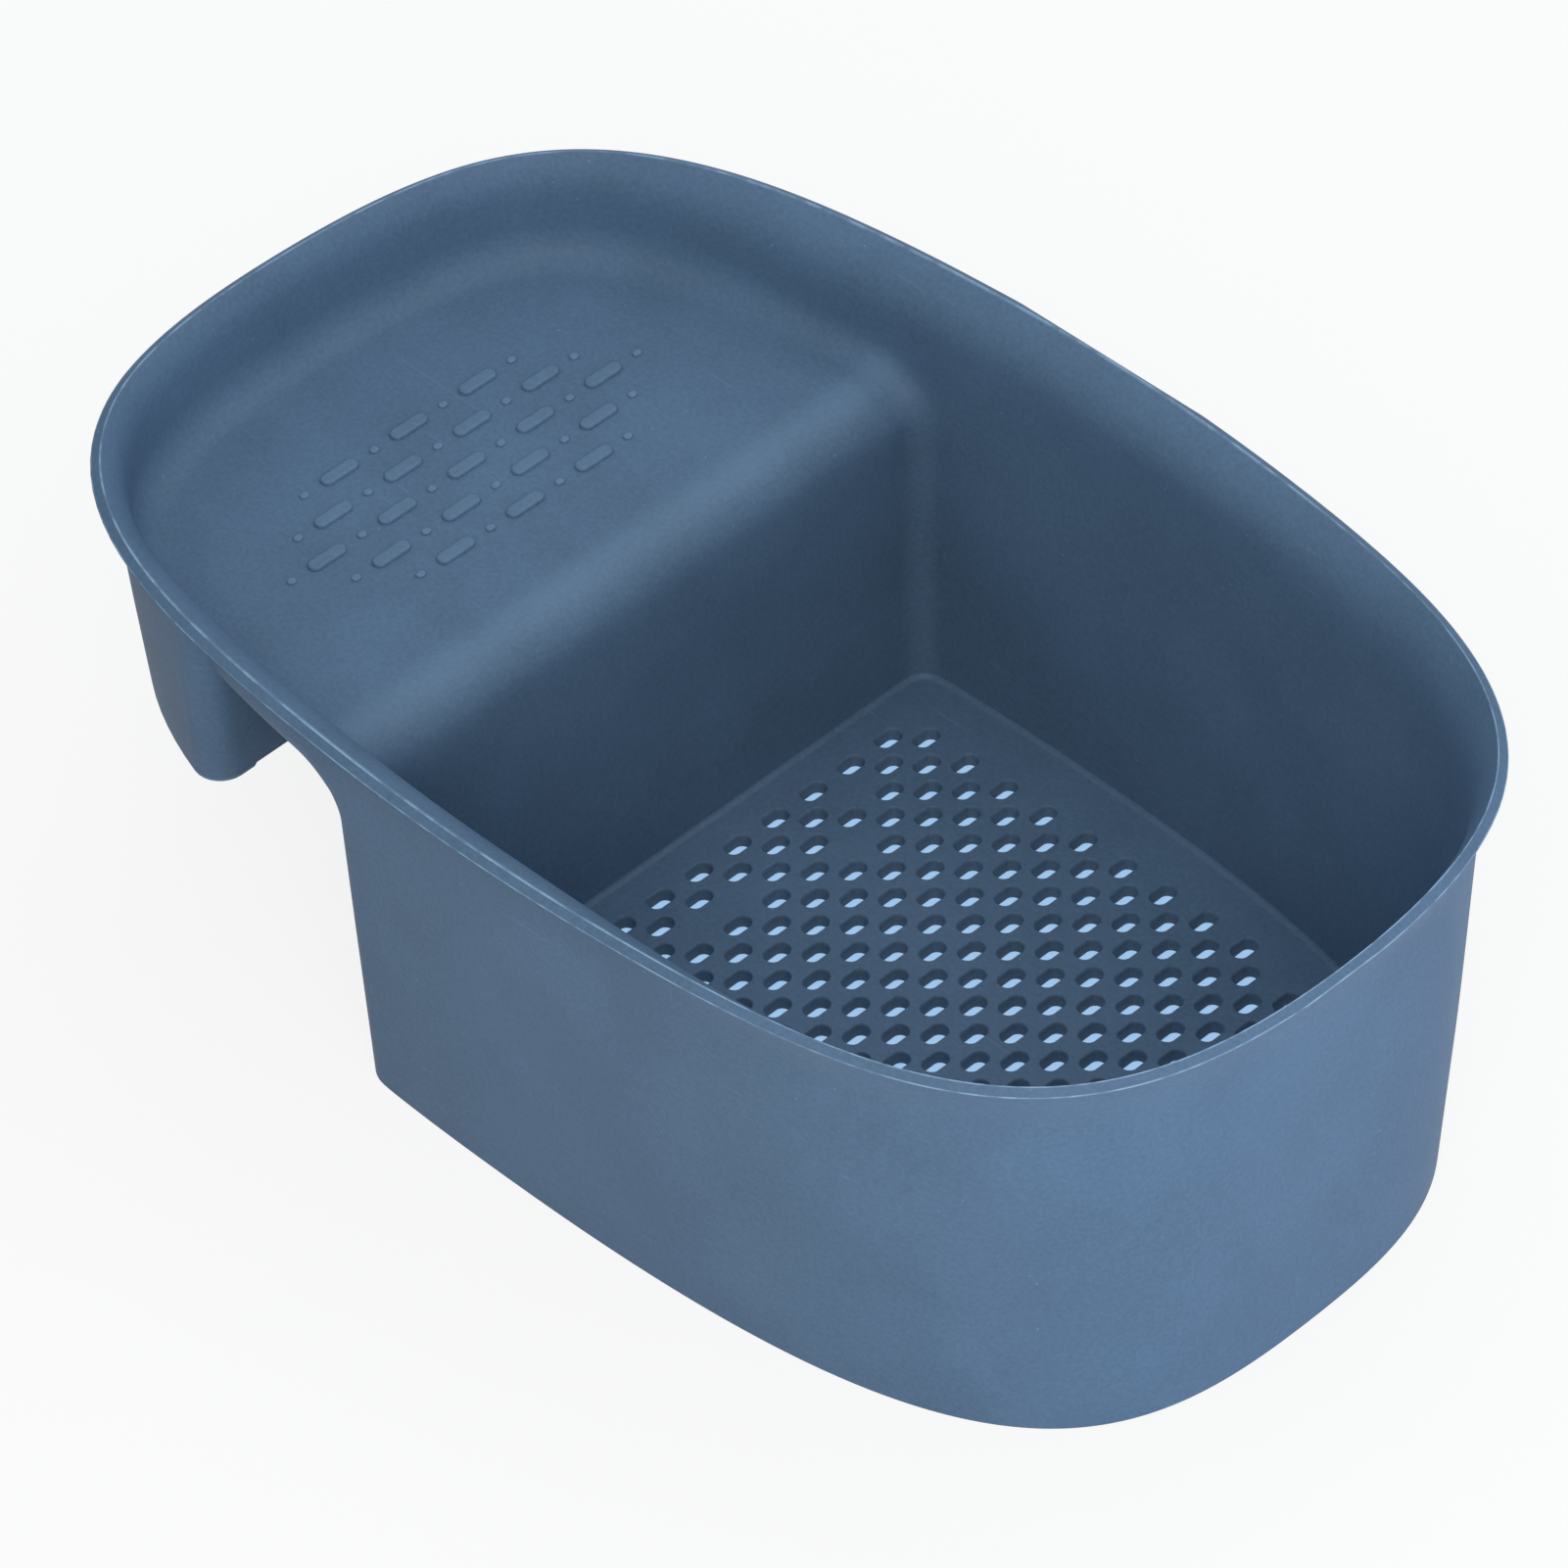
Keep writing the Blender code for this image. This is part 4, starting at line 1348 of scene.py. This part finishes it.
def photo_camera():
    """Camera at the photographed view."""
    data = bpy.data.cameras.new("photo_camera")
    data.lens = CAMERA_LENS
    data.sensor_width = 36.0
    camera = put("photo_camera", data)
    a, e, roll = (
        math.radians(turn) for turn in (CAMERA_AZIMUTH, CAMERA_ELEVATION, CAMERA_ROLL)
    )
    back = Vector((math.sin(a) * math.cos(e), -math.cos(a) * math.cos(e), math.sin(e)))
    level = Vector((math.cos(a), math.sin(a), 0.0))
    up = back.cross(level) * math.cos(roll) + level * math.sin(roll)
    place = Vector(CAMERA_TARGET) * MM + back * CAMERA_DISTANCE
    turned = Matrix((up.cross(back), up, back)).transposed().to_4x4()
    camera.matrix_world = Matrix.Translation(place) @ turned
    return camera


# ---------------------------------------------------------------- operators

SKIN = {}


def moulded_skin(sizes, fresh=False):
    """The shell's skin, worked out for the shell and kept for the pieces that follow it."""
    if fresh or "shell" not in SKIN:
        SKIN["shell"] = shell_skin(sizes)
    return SKIN["shell"]


class BASKET_OT_shell(bpy.types.Operator):
    """Mould the rim, the walls, the shelf's dish and its front roll."""

    bl_idname = "basket.shell"
    bl_label = "Moulded shell"

    def execute(self, context):
        sizes = context.scene.basket_sizes
        skin = moulded_skin(sizes, fresh=True)
        crest = sizes.divider_x - sizes.roll_radius - CREST_BACK
        # Painted highlight along the crest of the front roll.
        crest_highlight = blue_plastic("blue plastic, rubbed on the crest", highlit(
            CREST_HIGHLIGHT, ("X", crest, CREST_WIDTH), ("Z", CREST_HEIGHT, CREST_DEPTH),
        ))
        plain = blue_plastic("matt blue plastic")
        materials = {
            # The rim's cut edge gets a painted highlight line along both corners.
            "rim_edge": blue_plastic("cut edge of blue plastic", broken_edge_highlight),
            "saddle_wall": plain,
            "tub_wall": plain,
        }
        for index, name in enumerate(PIECES):
            thing = thick_piece(name, skin, sizes, index)
            dress(thing, materials.get(name, crest_highlight), STANDS_FOR[name])
        return {"FINISHED"}


class BASKET_OT_drain(bpy.types.Operator):
    """Lay the drain floor between the walls and cut its slots."""

    bl_idname = "basket.drain"
    bl_label = "Drain floor"

    def execute(self, context):
        sizes = context.scene.basket_sizes
        plain = blue_plastic("matt blue plastic")
        dress(drain_floor(sizes, moulded_skin(sizes)), plain, "drain_floor")
        return {"FINISHED"}


class BASKET_OT_leg(bpy.types.Operator):
    """Set the leg's skirt under the shelf."""

    bl_idname = "basket.leg"
    bl_label = "Leg"

    def execute(self, context):
        sizes = context.scene.basket_sizes
        # Painted highlight along the leg's lower edge.
        highlight_mask = highlit(FOOT_HIGHLIGHT, ("Z", sizes.leg_bottom, FOOT_HIGHLIGHT_WIDTH))
        material = blue_plastic("leg of blue plastic", highlight_mask)
        skirt = leg_skirt(sizes, moulded_skin(sizes))
        dress(skirt, material, "leg_front_wall", "leg_outer_wall")
        return {"FINISHED"}


class BASKET_OT_grips(bpy.types.Operator):
    """Raise the grips and the dots on the shelf."""

    bl_idname = "basket.grips"
    bl_label = "Grips and dots"

    def execute(self, context):
        sizes = context.scene.basket_sizes
        grips, dots = grip_places(sizes)
        width, height = sizes.grip_width, sizes.grip_height
        dot_width, dot_height = sizes.dot_width, sizes.dot_height
        dot_length = dot_width * DOT_STRETCH
        for name, width, long, height, corners, places, strength in (
            ("grips", width, sizes.grip_length, height, GRIP_CORNERS, grips, GRIP_HIGHLIGHT),
            ("dots", dot_width, dot_length, dot_height, DOT_CORNERS, dots, DOT_HIGHLIGHT),
        ):
            thing = repeat(pad(name, sizes, width, long, height, corners), places)
            smooth_round(thing, PAD_BEND)
            # Painted highlight on the tops of the grips and dots.
            highlight_mask = highlit(strength, ("Z", sizes.shelf_height + height, height))
            dress(thing, blue_plastic("rubbed " + name, highlight_mask), "shelf_floor")
        return {"FINISHED"}


class BASKET_OT_studio(bpy.types.Operator):
    """Set up the floor, the lamps and the camera."""

    bl_idname = "basket.studio"
    bl_label = "Studio"

    def execute(self, context):
        scene = context.scene
        scene.view_settings.view_transform = "Standard"
        lay_floor()
        stand_card()
        light_up(scene)
        scene.camera = photo_camera()
        return {"FINISHED"}


class BASKET_PT_panel(bpy.types.Panel):
    """Lists the steps that build the basket."""

    bl_idname = "BASKET_PT_panel"
    bl_label = "Sink drain basket"
    bl_space_type = "VIEW_3D"
    bl_region_type = "UI"
    bl_category = "Basket"

    def draw(self, context):
        for step in STEPS:
            self.layout.operator(step.bl_idname)


STEPS = (BASKET_OT_shell, BASKET_OT_drain, BASKET_OT_leg, BASKET_OT_grips, BASKET_OT_studio)
CLASSES = (BasketSizes, BasketLook, *STEPS, BASKET_PT_panel)


def register():
    for item in CLASSES:
        bpy.utils.register_class(item)
    bpy.types.Scene.basket_sizes = bpy.props.PointerProperty(type=BasketSizes)
    bpy.types.Scene.basket_look = bpy.props.PointerProperty(type=BasketLook)


def unregister():
    del bpy.types.Scene.basket_look
    del bpy.types.Scene.basket_sizes
    for item in reversed(CLASSES):
        bpy.utils.unregister_class(item)


def main():
    register()
    bpy.ops.basket.shell()
    bpy.ops.basket.drain()
    bpy.ops.basket.leg()
    bpy.ops.basket.grips()
    bpy.ops.basket.studio()


if __name__ == "__main__":
    main()
